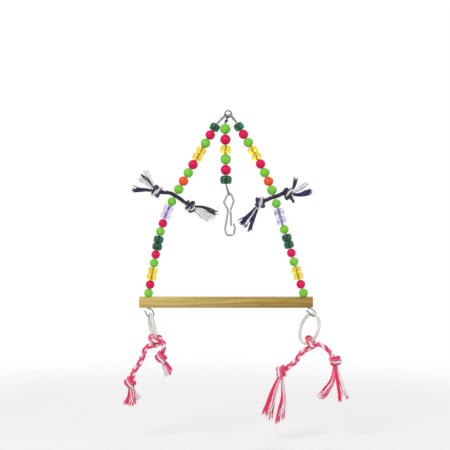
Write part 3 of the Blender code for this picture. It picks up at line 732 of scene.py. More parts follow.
@dataclass(frozen=True)
class DrawnWire:
    """Bright plated wire with a painted highlight band and painted shade round it, die lines and a handled
    surface.
    """

    name: str
    glint: Tone
    shade: Tone
    lines: float = 9.0
    dull: float = 0.45
    drawing: float = 0.05
    spotting: float = 210.0
    drift: float = 60.0
    bands: float = 2.0
    first_band: float = 0.7
    roughness: float = 0.12
    worn: float = 0.16
    die_marks: float = 0.12
    depth: float = 0.03

    def made(self) -> bpy.types.Material:
        """Mixes the painted highlight and painted shade round the wire, its tarnish and its die lines.

        Returns:
            The material.
        """
        sheet = Sheet(self.name, Metallic=1.0)
        turn, run = sheet.lay()
        rolled = {0: turn * self.lines, 1: run * self.drawing}
        drawn = sheet.noise(sheet.out("ShaderNodeCombineXYZ", {}, rolled), 1.0, 4.0)
        point = sheet.place()
        tarnish = sheet.noise(point, self.spotting, 4.0).ramp(0.35, 0.75)
        drift = sheet.noise(point, self.drift, 2.0)
        # Painted highlight: light bands at fixed turns round the wire, one on the side that faces the
        # camera, with painted shade on their edges.
        band = (turn * self.bands + self.first_band + drift * 0.1).wave().ramp(0.55, 0.97)
        painted_glint_and_shade = sheet.blend(band, self.shade.linear(), self.glint.linear())
        # Tarnish spots take a lighter copy of the painted shade's tone.
        tarnished_glint_and_shade = sheet.blend(tarnish * self.dull, painted_glint_and_shade, self.shade.linear(1.4))
        sheet.feed("Base Color", tarnished_glint_and_shade)
        sheet.feed("Roughness", tarnish * self.worn + drawn * self.die_marks + self.roughness)
        sheet.relief(drawn, self.depth, 0.6)
        return sheet.material


@dataclass(frozen=True)
class TurnedWood:
    """Pale hardwood dowel with growth layers, pores, a handled surface and painted shade that darkens it
    towards its right end.
    """

    name: str
    pale: Tone
    dark: Tone
    pore: Tone
    heart: tuple[float, float] = (0.016, -0.178)
    layer: float = 0.0021
    warping: Stretch = (9.0, 60.0, 60.0)
    streaking: Stretch = (14.0, 420.0, 420.0)
    flaming: Stretch = (26.0, 210.0, 210.0)
    poring: Stretch = (90.0, 2600.0, 2600.0)
    flame_start: tuple[float, float] = (-0.01, 0.03)
    painted_shade_span: tuple[float, float] = (-0.075, 0.08)
    roughness: float = 0.42
    depth: float = 0.12

    def made(self) -> bpy.types.Material:
        """Mixes the wood's layers, its darker flame, the painted shade towards its right end and its
        pores.

        Returns:
            The material.
        """
        sheet = Sheet(self.name, Specular_IOR_Level=0.35)
        warp = sheet.noise(sheet.stretched(self.warping), 1.0)
        parts = sheet.node("ShaderNodeSeparateXYZ", {}, {0: sheet.place()})
        across = Signal(sheet, parts.outputs[1]) - self.heart[0]
        up = Signal(sheet, parts.outputs[2]) - self.heart[1]
        radius = (across * across + up * up) ** 0.5
        layers = (radius / self.layer + warp * 2.6).wave()
        streaks = sheet.noise(sheet.stretched(self.streaking), 1.0, 4.0)
        flame = sheet.noise(sheet.stretched(self.flaming), 1.0, 2.0).ramp(0.5, 0.66)
        length = Signal(sheet, parts.outputs[0])
        flame = flame * length.ramp(*self.flame_start)
        # Painted shade: the wood grows darker along X towards its right end.
        painted_shade_right = length.ramp(*self.painted_shade_span) * 0.85
        share = (layers * 0.42 + streaks * 0.38 + flame * 0.5 + painted_shade_right - 0.24).held()
        tone = sheet.blend(share, self.pale.linear(), self.dark.linear())
        pores = sheet.noise(sheet.stretched(self.poring), 1.0, 2.0).ramp(0.6, 0.74)
        sheet.feed("Base Color", sheet.blend(pores * 0.6, tone, self.pore.linear()))
        sheet.feed("Roughness", streaks * 0.2 + pores * 0.2 + self.roughness)
        sheet.relief(layers * 0.3 + streaks * 0.5 - pores * 0.8, self.depth, 0.7)
        return sheet.material


@dataclass(frozen=True)
class RingPlastic:
    """White moulded ring plastic, slightly milky, with fine flow lines and handling scuffs."""

    name: str
    tone: Tone
    milkiness: float = 90.0
    scuffing: Stretch = (700.0, 400.0, 1100.0)
    roughness: float = 0.24
    worn: float = 0.24
    depth: float = 0.03

    def made(self) -> bpy.types.Material:
        """Mixes the plastic's milky tone and its scuffs.

        Returns:
            The material.
        """
        sheet = Sheet(
            self.name, Subsurface_Weight=0.15, Subsurface_Scale=0.003, Coat_Weight=0.25, IOR=1.48
        )
        point = sheet.place()
        milk = sheet.noise(point, self.milkiness).ramp(0.3, 0.7)
        sheet.feed("Base Color", sheet.blend(milk, self.tone.linear(), self.tone.linear(0.9)))
        scuffs = sheet.noise(sheet.stretched(self.scuffing), 1.0, 4.0)
        sheet.feed("Roughness", scuffs * self.worn + self.roughness)
        sheet.relief(scuffs, self.depth, 0.6)
        return sheet.material


@dataclass(frozen=True)
class SpunCotton:
    """Soft cotton yarn with slanting fibres, fuzz, uneven dyeing and painted shade in the grooves between
    its fibres.
    """

    name: str
    tone: Tone
    deep: Tone
    patches: float = 330.0
    fuzz: float = 2400.0
    plies: float = 3.0
    slant: float = 0.8
    roughness: float = 0.95
    worn: float = 0.15
    depth: float = 0.16

    def made(self) -> bpy.types.Material:
        """Mixes the yarn's uneven dyeing with painted shade in its fibre grooves, its fibres and its fuzz.

        Returns:
            The material.
        """
        sheet = Sheet(self.name, Sheen_Weight=0.35, Sheen_Roughness=0.6, Specular_IOR_Level=0.2)
        turn, run = sheet.lay()
        point = sheet.place()
        uneven = sheet.noise(point, self.patches)
        fuzz = sheet.noise(point, self.fuzz)
        fibres = (turn * self.plies + run * self.slant + uneven * 1.2).wave()
        # Painted shade: the deep tone also gathers in the grooves between the fibres, where their relief
        # is low.
        dye_and_groove_shade = (uneven.ramp(0.3, 0.7) * 0.55 + (1.0 - fibres) * 0.45).held()
        sheet.feed("Base Color", sheet.blend(dye_and_groove_shade, self.tone.linear(), self.deep.linear()))
        sheet.feed("Roughness", self.roughness - fuzz * self.worn)
        sheet.relief(fibres * 0.7 + fuzz * 0.6, self.depth, 0.9)
        return sheet.material


class Plastic(Enum):
    """The plastics that the beads are moulded in."""

    LIME = MouldedPlastic("lime_plastic", Tone(114, 203, 44), Tone(138, 214, 76))
    PINK = MouldedPlastic("pink_plastic", Tone(224, 0, 76), Tone(232, 8, 100))
    ORANGE = ClearPlastic(
        "orange_clear_plastic", Tone(254, 86, 0), Tone(236, 56, 0), 0.0, 0.1, gloss=0.25, coat=0.12
    )
    YELLOW = ClearPlastic("yellow_clear_plastic", Tone(254, 234, 62), Tone(228, 178, 20), 0.9)
    GREEN = ClearPlastic(
        "green_clear_plastic", Tone(0, 98, 60), Tone(6, 156, 100), 0.8, gloss=0.2, coat=0.06
    )
    CLEAR = ClearPlastic("water_clear_plastic", Tone(230, 220, 248), Tone(56, 34, 132), 0.96)


class Cotton(Enum):
    """The yarns that the ropes are laid from."""

    PINK = SpunCotton("pink_cotton", Tone(250, 34, 106), Tone(230, 14, 82))
    ROSE = SpunCotton("rose_cotton", Tone(252, 112, 156), Tone(244, 66, 122))
    WHITE = SpunCotton("white_cotton", Tone(252, 250, 250), Tone(222, 214, 218))
    NAVY = SpunCotton("navy_cotton", Tone(46, 28, 106), Tone(18, 10, 52))
    BLACK = SpunCotton("black_cotton", Tone(24, 20, 30), Tone(6, 5, 10))


class Hard(Enum):
    """The finishes of the hard pieces that aren't beads."""

    STEEL = DrawnWire("bright_wire", Tone(158, 158, 164), Tone(34, 34, 38))
    HOOK_STEEL = DrawnWire("hook_wire_plate", Tone(188, 185, 182), Tone(34, 32, 34), 12.0, 0.16)
    WOOD = TurnedWood("perch_wood", Tone(214, 191, 112), Tone(160, 128, 54), Tone(112, 80, 34))
    RING = RingPlastic("white_ring_plastic", Tone(226, 226, 219))


_made: dict[str, bpy.types.Material] = {}


def dressed(finish: Enum) -> bpy.types.Material:
    """The material of a finish, made once.

    Args:
        finish: one of the finishes of a plastic, a cotton or a hard piece.

    Returns:
        Its material.
    """
    recipe = finish.value
    if recipe.name not in _made:
        _made[recipe.name] = recipe.made()
    return _made[recipe.name]


# The studio


@dataclass
class Studio:
    """The camera, lamps, surroundings and floor."""

    centre: Vector = field(default_factory=lambda: Vector((-2.8, 0.0, -97.7)))
    distance: float = 900.0
    width: float = 396.0
    sensor: float = 36.0
    floor_height: float = -286.0
    floor_radius: float = 620.0
    floor_fade: tuple[float, float] = (280.0, 600.0)
    floor_share: float = 0.72
    floor_greys: tuple[float, float] = (0.9, 0.87)
    room_light: float = 0.5

    def build(self) -> None:
        """Sets the whole studio up."""
        self.place_camera()
        self.light_room()
        self.lamp("key_lamp", (-620.0, -900.0, 620.0), size=620.0, power=7.6)
        self.lamp("side_lamp", (820.0, -560.0, 160.0), size=700.0, power=2.2)
        self.lamp("back_lamp", (160.0, 820.0, 540.0), size=700.0, power=3.6)
        self.lay_floor()

    def place_camera(self) -> None:
        """A level camera in front of the toy, framed as the photograph is."""
        eye = bpy.data.cameras.new("camera")
        eye.sensor_width = self.sensor
        eye.lens = self.sensor * self.distance / self.width
        eye.clip_start = 0.01
        camera = bpy.data.objects.new("camera", eye)
        camera.location = (self.centre + Vector((0.0, -self.distance, 0.0))) * MM
        camera.rotation_euler = (math.pi / 2, 0.0, 0.0)
        bpy.context.collection.objects.link(camera)
        bpy.context.scene.camera = camera
        bpy.context.scene.view_settings.view_transform = "Standard"

    def light_room(self) -> None:
        """Plain light from all round, which is white to the camera, in gloss and through plastic."""
        world = bpy.data.worlds.new("room")
        bpy.context.scene.world = world
        world.use_nodes = True
        nodes = world.node_tree.nodes
        links = world.node_tree.links
        nodes.clear()
        rays = nodes.new("ShaderNodeLightPath")
        seen = rays.outputs["Is Camera Ray"]
        for ray in ("Is Glossy Ray", "Is Transmission Ray"):
            either = nodes.new("ShaderNodeMath")
            either.operation = "MAXIMUM"
            links.new(seen, either.inputs[0])
            links.new(rays.outputs[ray], either.inputs[1])
            seen = either.outputs[0]
        mix = nodes.new("ShaderNodeMixShader")
        links.new(seen, mix.inputs[0])
        for place, strength in ((1, self.room_light), (2, 1.0)):
            back = nodes.new("ShaderNodeBackground")
            back.inputs["Color"].default_value = (1.0, 1.0, 1.0, 1.0)
            back.inputs["Strength"].default_value = strength
            links.new(back.outputs[0], mix.inputs[place])
        output = nodes.new("ShaderNodeOutputWorld")
        links.new(mix.outputs[0], output.inputs["Surface"])

    def lamp(self, name: str, place: tuple[float, float, float], size: float, power: float) -> None:
        """A square soft lamp that faces the toy.

        Args:
            name: the lamp's name.
            place: where its middle is.
            size: the length of its sides.
            power: its power in watts.
        """
        light = bpy.data.lights.new(name, "AREA")
        light.shape = "SQUARE"
        light.size = size * MM
        light.energy = power
        lamp = bpy.data.objects.new(name, light)
        lamp.location = Vector(place) * MM
        aim = (self.centre * MM - lamp.location).normalized()
        lamp.rotation_euler = aim.to_track_quat("-Z", "Y").to_euler()
        bpy.context.collection.objects.link(lamp)

    def lay_floor(self) -> None:
        """A pale round floor that fades out at its edge and takes the toy's shadow."""
        shape = bmesh.new()
        bmesh.ops.create_circle(shape, cap_ends=True, segments=96, radius=self.floor_radius * MM)
        mesh = bpy.data.meshes.new("floor")
        shape.to_mesh(mesh)
        shape.free()
        floor = bpy.data.objects.new("floor", mesh)
        floor.location = (0.0, 0.0, self.floor_height * MM)
        bpy.context.collection.objects.link(floor)
        sheet = Sheet("floor_paper", Roughness=0.9, Specular_IOR_Level=0.1)
        point = sheet.place()
        reach = sheet.out("ShaderNodeVectorMath", {"operation": "LENGTH"}, {0: point}, "Value")
        near, far = self.floor_fade
        sheet.feed("Alpha", (1.0 - reach.ramp(near * MM, far * MM)) * self.floor_share)
        paper = sheet.noise(point, 30.0, 2.0)
        pale, darker = ((grey, grey, grey, 1.0) for grey in self.floor_greys)
        sheet.feed("Base Color", sheet.blend(paper, pale, darker))
        mesh.materials.append(sheet.material)


# Beads


class BeadKind(Enum):
    """The kinds of bead, each with its colour's name, its plastic, and whether it is a barrel."""

    LIME = ("lime", Plastic.LIME, False)
    PINK = ("pink", Plastic.PINK, False)
    ORANGE = ("orange", Plastic.ORANGE, False)
    YELLOW = ("yellow", Plastic.YELLOW, True)
    GREEN = ("green", Plastic.GREEN, True)
    CLEAR = ("clear", Plastic.CLEAR, True)

    def __init__(self, colour: str, plastic: Plastic, is_barrel: bool) -> None:
        """Keeps what the kind's line says under names.

        Args:
            colour: the name of its colour.
            plastic: what it is moulded in.
            is_barrel: whether it is a barrel and not a ball.
        """
        self.colour = colour
        self.plastic = plastic
        self.is_barrel = is_barrel


LIME, PINK, ORANGE = BeadKind.LIME, BeadKind.PINK, BeadKind.ORANGE
YELLOW, GREEN, CLEAR = BeadKind.YELLOW, BeadKind.GREEN, BeadKind.CLEAR

BeadRow = tuple[tuple[BeadKind, int], ...]

HOOK_ROW: BeadRow = ((LIME, 1), (PINK, 1), (YELLOW, 1), (LIME, 1), (PINK, 1), (GREEN, 1))
UPPER_ROW: BeadRow = (
    (GREEN, 1),
    (PINK, 1),
    (LIME, 1),
    (YELLOW, 2),
    (PINK, 1),
    (LIME, 1),
    (ORANGE, 1),
    (LIME, 1),
)
LEFT_ROW: BeadRow = (
    (LIME, 1),
    (CLEAR, 2),
    (PINK, 1),
    (LIME, 1),
    (GREEN, 2),
    (PINK, 1),
    (LIME, 1),
    (YELLOW, 2),
    (PINK, 1),
    (LIME, 1),
)
RIGHT_ROW: BeadRow = (
    (LIME, 1),
    (CLEAR, 2),
    (LIME, 1),
    (GREEN, 2),
    (PINK, 1),
    (LIME, 1),
    (YELLOW, 2),
    (PINK, 1),
    (LIME, 1),
)


@dataclass(frozen=True)
class BeadSizes:
    """The sizes of one string's beads: the balls' diameter, and each barrel's two sizes."""

    ball: float
    barrels: dict[BeadKind, tuple[float, float]]
    bore: float = 3.0

    def ball_length(self) -> float:
        """The length of a ball between the rims of its bore."""
        return math.sqrt(self.ball**2 - self.bore**2)

    def of(self, kind: BeadKind) -> tuple[float, float]:
        """A bead's diameter and length."""
        return self.barrels.get(kind, (self.ball, self.ball_length()))


HOOK_SIZES = BeadSizes(ball=9.3, barrels={YELLOW: (9.8, 7.4), GREEN: (10.5, 7.6)})
UPPER_SIZES = BeadSizes(ball=8.6, barrels={GREEN: (8.8, 6.9), YELLOW: (9.0, 6.6)})
LEFT_SIZES = BeadSizes(
    ball=7.8, barrels={CLEAR: (8.9, 6.5), GREEN: (8.9, 6.4), YELLOW: (8.9, 5.8)}
)
RIGHT_SIZES = BeadSizes(
    ball=7.9, barrels={CLEAR: (8.9, 7.6), GREEN: (8.9, 6.5), YELLOW: (8.9, 6.1)}
)


@dataclass
class Bead:
    """One bead, or a pair of barrels end to end, on its wire."""

    string: str
    first: int
    kind: BeadKind
    count: int
    diameter: float
    long: float
    middle: Vector
    heading: Vector
    bore: float = 3.0
    chamfer: float = 0.2
    ball_lip: float = 0.16
    ball_sink: float = 0.02
    ball_bands: int = 22
    barrel_lip: float = 0.15
    barrel_sink: float = 0.03
    barrel_bands: int = 18
    mouth: float = 0.58
    fullness: float = 0.8
    segments: int = 40

    def node(self) -> str:
        """The name of the solid that this bead stands for.

        Returns:
            The solid's name.
        """
        colour = self.kind.colour
        if self.count == 1:
            return f"{self.string}_bead_{self.first:02d}_{colour}"
        return f"{self.string}_beads_{self.first:02d}_{self.first + self.count - 1:02d}_{colour}"

    def bore_wall(self, half: float) -> list[tuple[float, float]]:
        """The section of the bore, from below its lower rim to its upper one."""
        inner = self.bore / 2
        return [(inner, self.chamfer - half), (inner, 0.0), (inner, half - self.chamfer)]

    def ball(self) -> bmesh.types.BMesh:
        """A drilled ball with softened bore rims.

        Returns:
            The ball, with its bore along Z.
        """
        rim = math.asin(self.bore / self.diameter)
        radius = self.diameter / 2
        top = math.cos(rim) * radius
        lip = self.bore / 2 + self.ball_lip
        profile = [(lip, top - self.ball_sink)]
        for band in range(1, self.ball_bands):
            angle = rim + (math.pi - 2 * rim) * band / self.ball_bands
            profile.append((math.sin(angle) * radius, math.cos(angle) * radius))
        profile.append((lip, self.ball_sink - top))
        return spun(profile + self.bore_wall(top), self.segments)

    def barrel(self, height: float) -> bmesh.types.BMesh:
        """A rounded barrel with a flat mouth, its middle at a height.

        Args:
            height: where its middle is along Z.

        Returns:
            The barrel, with its bore along Z.
        """
        radius = self.diameter / 2
        half = self.long / 2 - self.barrel_sink
        lip = self.bore / 2 + self.barrel_lip
        profile = [(lip, half)]
        for band in range(self.barrel_bands + 1):
            turn = math.pi / 2 - math.pi * band / self.barrel_bands
            out = self.mouth + (1.0 - self.mouth) * abs(math.cos(turn)) ** self.fullness
            profile.append((radius * out, half * math.sin(turn)))
        profile.append((lip, -half))
        shape = spun(profile + self.bore_wall(half), self.segments)
        bmesh.ops.translate(shape, vec=(0.0, 0.0, height), verts=shape.verts)
        return shape

    def build(self) -> None:
        """Makes the bead on its own body."""
        if self.kind.is_barrel:
            start = self.long * (self.count - 1) / 2
            shape = gathered([self.barrel(start - self.long * k) for k in range(self.count)])
        else:
            shape = self.ball()
        turn = Vector((0, 0, 1)).rotation_difference(-self.heading).to_matrix().to_4x4()
        bmesh.ops.transform(shape, matrix=Matrix.Translation(self.middle) @ turn, verts=shape.verts)
        node = self.node()
        plastic = dressed(self.kind.plastic)
        finished(f"moulded_{node}", shape, [plastic], node, self.kind.colour, [node])


@dataclass
class Leg:
    """One leg: its axis, where its beads and its cross rope sit, and its wire's ends."""

    side: str
    axis: tuple[tuple[float, float], tuple[float, float], tuple[float, float]]
    bend: float
    row: BeadRow
    sizes: BeadSizes
    slack: float
    foot_exit: float
    rope: float = 4.2
    perch_top: float = -160.6
    seat_depth: float = 0.8
    line: Line = field(init=False)
    crossing: float = field(init=False)
    neck: float = field(init=False)
    beads: list[Bead] = field(init=False)
    seat: Vector = field(init=False)

    def __post_init__(self) -> None:
        """Stacks the beads up from the perch."""
        self.line = rounded([spot(place) for place in self.axis], [self.bend], step=1.0)
        coarse = rounded([spot(place) for place in self.axis], [self.bend], step=3.0)
        rest = self.perch_top + self.sizes.ball / 2 - self.seat_depth
        seated = self.at_height(coarse, rest)
        self.seat, _ = along(coarse, seated)
        bottom = seated + self.sizes.ball_length() / 2
        lower, edge = self.stack(self.row, bottom, self.sizes, self.slack)
        self.crossing = edge - self.rope / 2
        upper, self.neck = self.stack(
            UPPER_ROW, self.crossing - self.rope / 2 - GAP, UPPER_SIZES, 0.0
        )
        self.beads = []
        number = 1
        for kind, count, size, middle in reversed(lower + upper):
            half = size[1] * count / 2
            top, _ = along(coarse, middle - half)
            low, _ = along(coarse, middle + half)
            place = (top + low) / 2
            heading = (low - top).normalized()
            self.beads.append(Bead(self.side, number, kind, count, *size, place, heading))
            number += count

    def stack(
        self, row: BeadRow, start: float, sizes: BeadSizes, slack: float
    ) -> tuple[list[tuple[BeadKind, int, tuple[float, float], float]], float]:
        """Where a row's beads sit, from the bottom bead up, and where the next piece begins.

        Args:
            row: the beads from the top one down.
            start: how far along the leg the lowest bead ends.
            sizes: the beads' sizes.
            slack: what is left between two beads besides the gap.

        Returns:
            Each bead's kind, count, sizes and middle along the leg, and where the next piece begins.
        """
        placed = []
        edge = start
        for kind, count in reversed(row):
            size = sizes.of(kind)
            whole = size[1] * count
            placed.append((kind, count, size, edge - whole / 2))
            edge -= whole + GAP + slack
        return placed, edge + slack

    def at_height(self, line: Line, height: float) -> float:
        """How far along a falling line it reaches a height.

        Args:
            line: a line that falls all the way.
            height: the height that it reaches.

        Returns:
            The distance along the line.
        """
        travelled = 0.0
        for a, b in zip(line, line[1:]):
            if b.z <= height:
                return travelled + (b - a).length * (a.z - height) / (a.z - b.z)
            travelled += (b - a).length
        return travelled


LEFT = Leg(
    "left",
    axis=((-4.3, 1.3), (-57.6, -90.5832), (-70.9, -162.0)),
    bend=128.0,
    row=LEFT_ROW,
    sizes=LEFT_SIZES,
    slack=0.0,
    foot_exit=-70.9,
)
RIGHT = Leg(
    "right",
    axis=((3.1, -0.4), (35.0, -54.3168), (67.6, -162.0)),
    bend=187.0,
    row=RIGHT_ROW,
    sizes=RIGHT_SIZES,
    slack=0.35,
    foot_exit=70.4,
)


# Perch


@dataclass
class Perch:
    """The drilled dowel with its dished bead seats."""

    length: float = 152.4
    diameter: float = 10.0
    middle: Vector = field(default_factory=lambda: Vector((-1.9, 0.0, -165.6)))
    edge: float = 0.5
    edge_steps: int = 6
    hole: float = 3.2
    overshoot: float = 2.0

    def dowel(self) -> bmesh.types.BMesh:
        """The turned dowel with softened ends.

        Returns:
            The dowel in its place.
        """
        radius = self.diameter / 2
        half = self.length / 2
        profile = [(0.0, half)]
        for count in range(self.edge_steps + 1):
            turn = math.pi / 2 * count / self.edge_steps
            out = radius - self.edge + math.sin(turn) * self.edge
            profile.append((out, half - self.edge + math.cos(turn) * self.edge))
        profile += [(out, -height) for out, height in reversed(profile)]
        shape = spun(profile, segments=96)
        bmesh.ops.rotate(shape, matrix=Matrix.Rotation(math.pi / 2, 3, "Y"), verts=shape.verts)
        bmesh.ops.translate(shape, vec=self.middle, verts=shape.verts)
        return shape

    def cutter(self, name: str, shape: bmesh.types.BMesh) -> bpy.types.Object:
        """A loose object of a shape, which is used up, for the cuts.

        Args:
            name: the object's name.
            shape: its shape in millimetres.

        Returns:
            The object.
        """
        mesh = bpy.data.meshes.new(name)
        bmesh.ops.scale(shape, vec=(MM, MM, MM), verts=shape.verts)
        shape.to_mesh(mesh)
        shape.free()
        tool = bpy.data.objects.new(name, mesh)
        bpy.context.collection.objects.link(tool)
        return tool

    def dish(self, leg: Leg) -> bmesh.types.BMesh:
        """The ball that cuts the seat of a leg's lowest bead.

        Args:
            leg: the leg.

        Returns:
            The ball in its place.
        """
        shape = bmesh.new()
        reach = leg.sizes.ball / 2 + GAP
        bmesh.ops.create_uvsphere(shape, u_segments=48, v_segments=24, radius=reach)
        bmesh.ops.translate(shape, vec=leg.seat, verts=shape.verts)
        return shape

    def drill(self, leg: Leg) -> bmesh.types.BMesh:
        """The bar that cuts the hole a leg's wire passes through.

        Args:
            leg: the leg.

        Returns:
            The bar in its place.
        """
        foot = leg.line[-1]
        leaving = Vector((leg.foot_exit, 0.0, self.middle.z - self.diameter / 2))
        out = (leaving - foot).normalized() * self.overshoot
        return tube([foot - out, leaving + out], [self.hole / 2] * 2, sides=32)

    def build(self) -> None:
        """Makes the perch on the frame of the swing."""
        blank = self.cutter("dowel_blank", self.dowel())
        tools = []
        for leg in (LEFT, RIGHT):
            tools.append(self.cutter(f"{leg.side}_dish", self.dish(leg)))
            tools.append(self.cutter(f"{leg.side}_drill", self.drill(leg)))
        for tool in tools:
            step = blank.modifiers.new(tool.name, "BOOLEAN")
            step.operation = "DIFFERENCE"
            step.solver = "EXACT"
            step.object = tool
        graph = bpy.context.evaluated_depsgraph_get()
        cut = bpy.data.meshes.new_from_object(blank.evaluated_get(graph))
        shape = bmesh.new()
        shape.from_mesh(cut)
        bmesh.ops.scale(shape, vec=(1 / MM, 1 / MM, 1 / MM), verts=shape.verts)
        for spent in (blank, *tools):
            bpy.data.objects.remove(spent)
        bpy.data.meshes.remove(cut)
        wood = [dressed(Hard.WOOD)]
        finished("turned_perch", shape, wood, "swing_frame", "wood", ["perch"], crease=30.0)


# Wires


@dataclass
class ApexRing:
    """The small steel ring that everything hangs from."""

    diameter: float = 7.2
    wire: float = 1.3
    butt: float = 0.25
    steps: int = 72

    def point(self, angle: float) -> Vector:
        """A point on the middle of the wire, turned by degrees from +X towards +Z.

        Args:
            angle: the degrees.

        Returns:
            The point.
        """
        radius = (self.diameter - self.wire) / 2
        turn = math.radians(angle)
        return Vector((math.cos(turn) * radius, 0.0, math.sin(turn) * radius))

    def build(self) -> None:
        """Makes the ring on its own body, one wire bent round until its cut ends meet."""
        open_by = math.degrees(self.butt / (self.diameter - self.wire))
        line = [
            self.point(90 + open_by + (360 - 2 * open_by) * count / self.steps)
            for count in range(self.steps + 1)
        ]
        shape = tube(line, [self.wire / 2] * len(line), sides=20)
        steel = [dressed(Hard.STEEL)]
        finished("bent_apex_ring", shape, steel, "apex_ring", "steel", ["apex_ring"])


APEX = ApexRing()


def softened(line: Line, radius: float, edge: float = 0.18) -> tuple[Line, list[float]]:
    """A wire's line and radii with a small bevel at both cut ends.

    Args:
        line: the middle of the wire.
        radius: the wire's radius.
        edge: how long and how deep each bevel is.

    Returns:
        The line with one more point at each end, and the radius at each point.
    """
    first = line[0] + (line[1] - line[0]).normalized() * edge
    last = line[-1] + (line[-2] - line[-1]).normalized() * edge
    points = [line[0], first, *line[1:-1], last, line[-1]]
    radii = [radius - edge, *[radius] * (len(points) - 2), radius - edge]
    return points, radii


@dataclass(frozen=True)
class WireEye:
    """A hairpin eye bent in a wire's end."""

    width: float = 4.8
    wire: float = 1.0
    tail_gap: float = 0.45

    def corners(self, neck: Vector, bar: Vector, side: Vector, reach: float) -> Line:
        """Corners of the eye from its neck round its far end to its cut tail.

        Args:
            neck: where the eye begins.
            bar: the middle of what it holds.
            side: the direction of its width.
            reach: how far its far end is past the bar's middle.

        Returns:
            The two corners of its far end, and the end of its tail.
        """
        out = (bar - neck).normalized()
        side = (side - out * side.dot(out)).normalized()
        end = bar + out * reach
        spread = side * (self.width / 2)
        cut = neck + out * self.wire - side * (self.wire + self.tail_gap)
        return [end + spread, end - spread, cut]

    def turned(self, neck: Vector, bar: Vector, turn: float) -> Vector:
        """The direction of the eye's width: the Y axis, turned about the way the eye points.

        Args:
            neck: where the eye begins.
            bar: the middle of what it holds.
            turn: the degrees that its width is turned by.

        Returns:
            The direction.
        """
        out = (bar - neck).normalized()
        angle = math.radians(turn)
        flat = out.cross(BACK).normalized()
        return BACK * math.cos(angle) + flat * math.sin(angle)


@dataclass
class PlasticRing:
    """A plastic ring hung in a leg's lower eye, turned away from the picture's plane."""

    side_name: str
    exit_x: float
    tilt: float
    turn: float
    tie: float
    diameter: float = 29.4
    thickness: float = 2.4
    width: float = 3.2
    drop: float = 7.6
    wire: float = 1.0
    under: float = -170.6
    play: float = 0.3
    ridge: float = 0.05
    steps: int = 28
    hung_at: Vector = field(init=False)
    radius: float = field(init=False)
    up: Vector = field(init=False)
    across: Vector = field(init=False)
    middle: Vector = field(init=False)
    normal: Vector = field(init=False)

    def __post_init__(self) -> None:
        """Works out the ring's directions and its middle."""
        height = self.under - self.drop + self.wire / 2 + GAP + self.thickness / 2 + self.play
        self.hung_at = Vector((self.exit_x, 0.0, height))
        self.radius = (self.diameter - self.thickness) / 2
        lean = math.radians(self.tilt)
        swung = math.radians(self.turn)
        self.up = Vector((math.sin(lean), 0.0, math.cos(lean)))
        flat = Vector((math.cos(lean), 0.0, -math.sin(lean)))
        self.across = flat * math.cos(swung) + Vector((0.0, -math.sin(swung), 0.0))
        highest = math.atan2(self.across.z, self.up.z)
        self.middle = self.hung_at - self.offset(math.degrees(highest))
        self.normal = self.up.cross(self.across).normalized()

    def offset(self, angle: float) -> Vector:
        """From the ring's middle to its section's middle, at degrees from its top."""
        turn = math.radians(angle)
        return (self.up * math.cos(turn) + self.across * math.sin(turn)) * self.radius

    def point(self, angle: float) -> Vector:
        """The middle of the ring's section at degrees from its top."""
        return self.middle + self.offset(angle)

    def tangent(self, angle: float) -> Vector:
        """The ring's direction at degrees from its top."""
        turn = math.radians(angle)
        return self.across * math.cos(turn) - self.up * math.sin(turn)

    def build(self) -> None:
        """Makes the ring with the fine ridge of its mould's parting line."""
        profile = []
        for count in range(self.steps):
            turn = math.tau * count / self.steps
            ridge = self.ridge if count in (0, self.steps // 2) else 0.0
            out = self.radius + math.cos(turn) * (self.thickness / 2 + ridge)
            profile.append((out, math.sin(turn) * self.width / 2))
        shape = spun(profile, segments=120)
        basis = Matrix((self.up, self.across, self.normal)).transposed()
        bmesh.ops.rotate(shape, matrix=basis, verts=shape.verts)
        bmesh.ops.translate(shape, vec=self.middle, verts=shape.verts)
        node = f"{self.side_name}_ring"
        finished(f"moulded_{node}", shape, [dressed(Hard.RING)], node, "white_plastic", [node])


LEFT_RING = PlasticRing("left", exit_x=-68.6, tilt=-9.0, turn=78.0, tie=128.0)
RIGHT_RING = PlasticRing("right", exit_x=75.0, tilt=21.0, turn=62.0, tie=138.0)


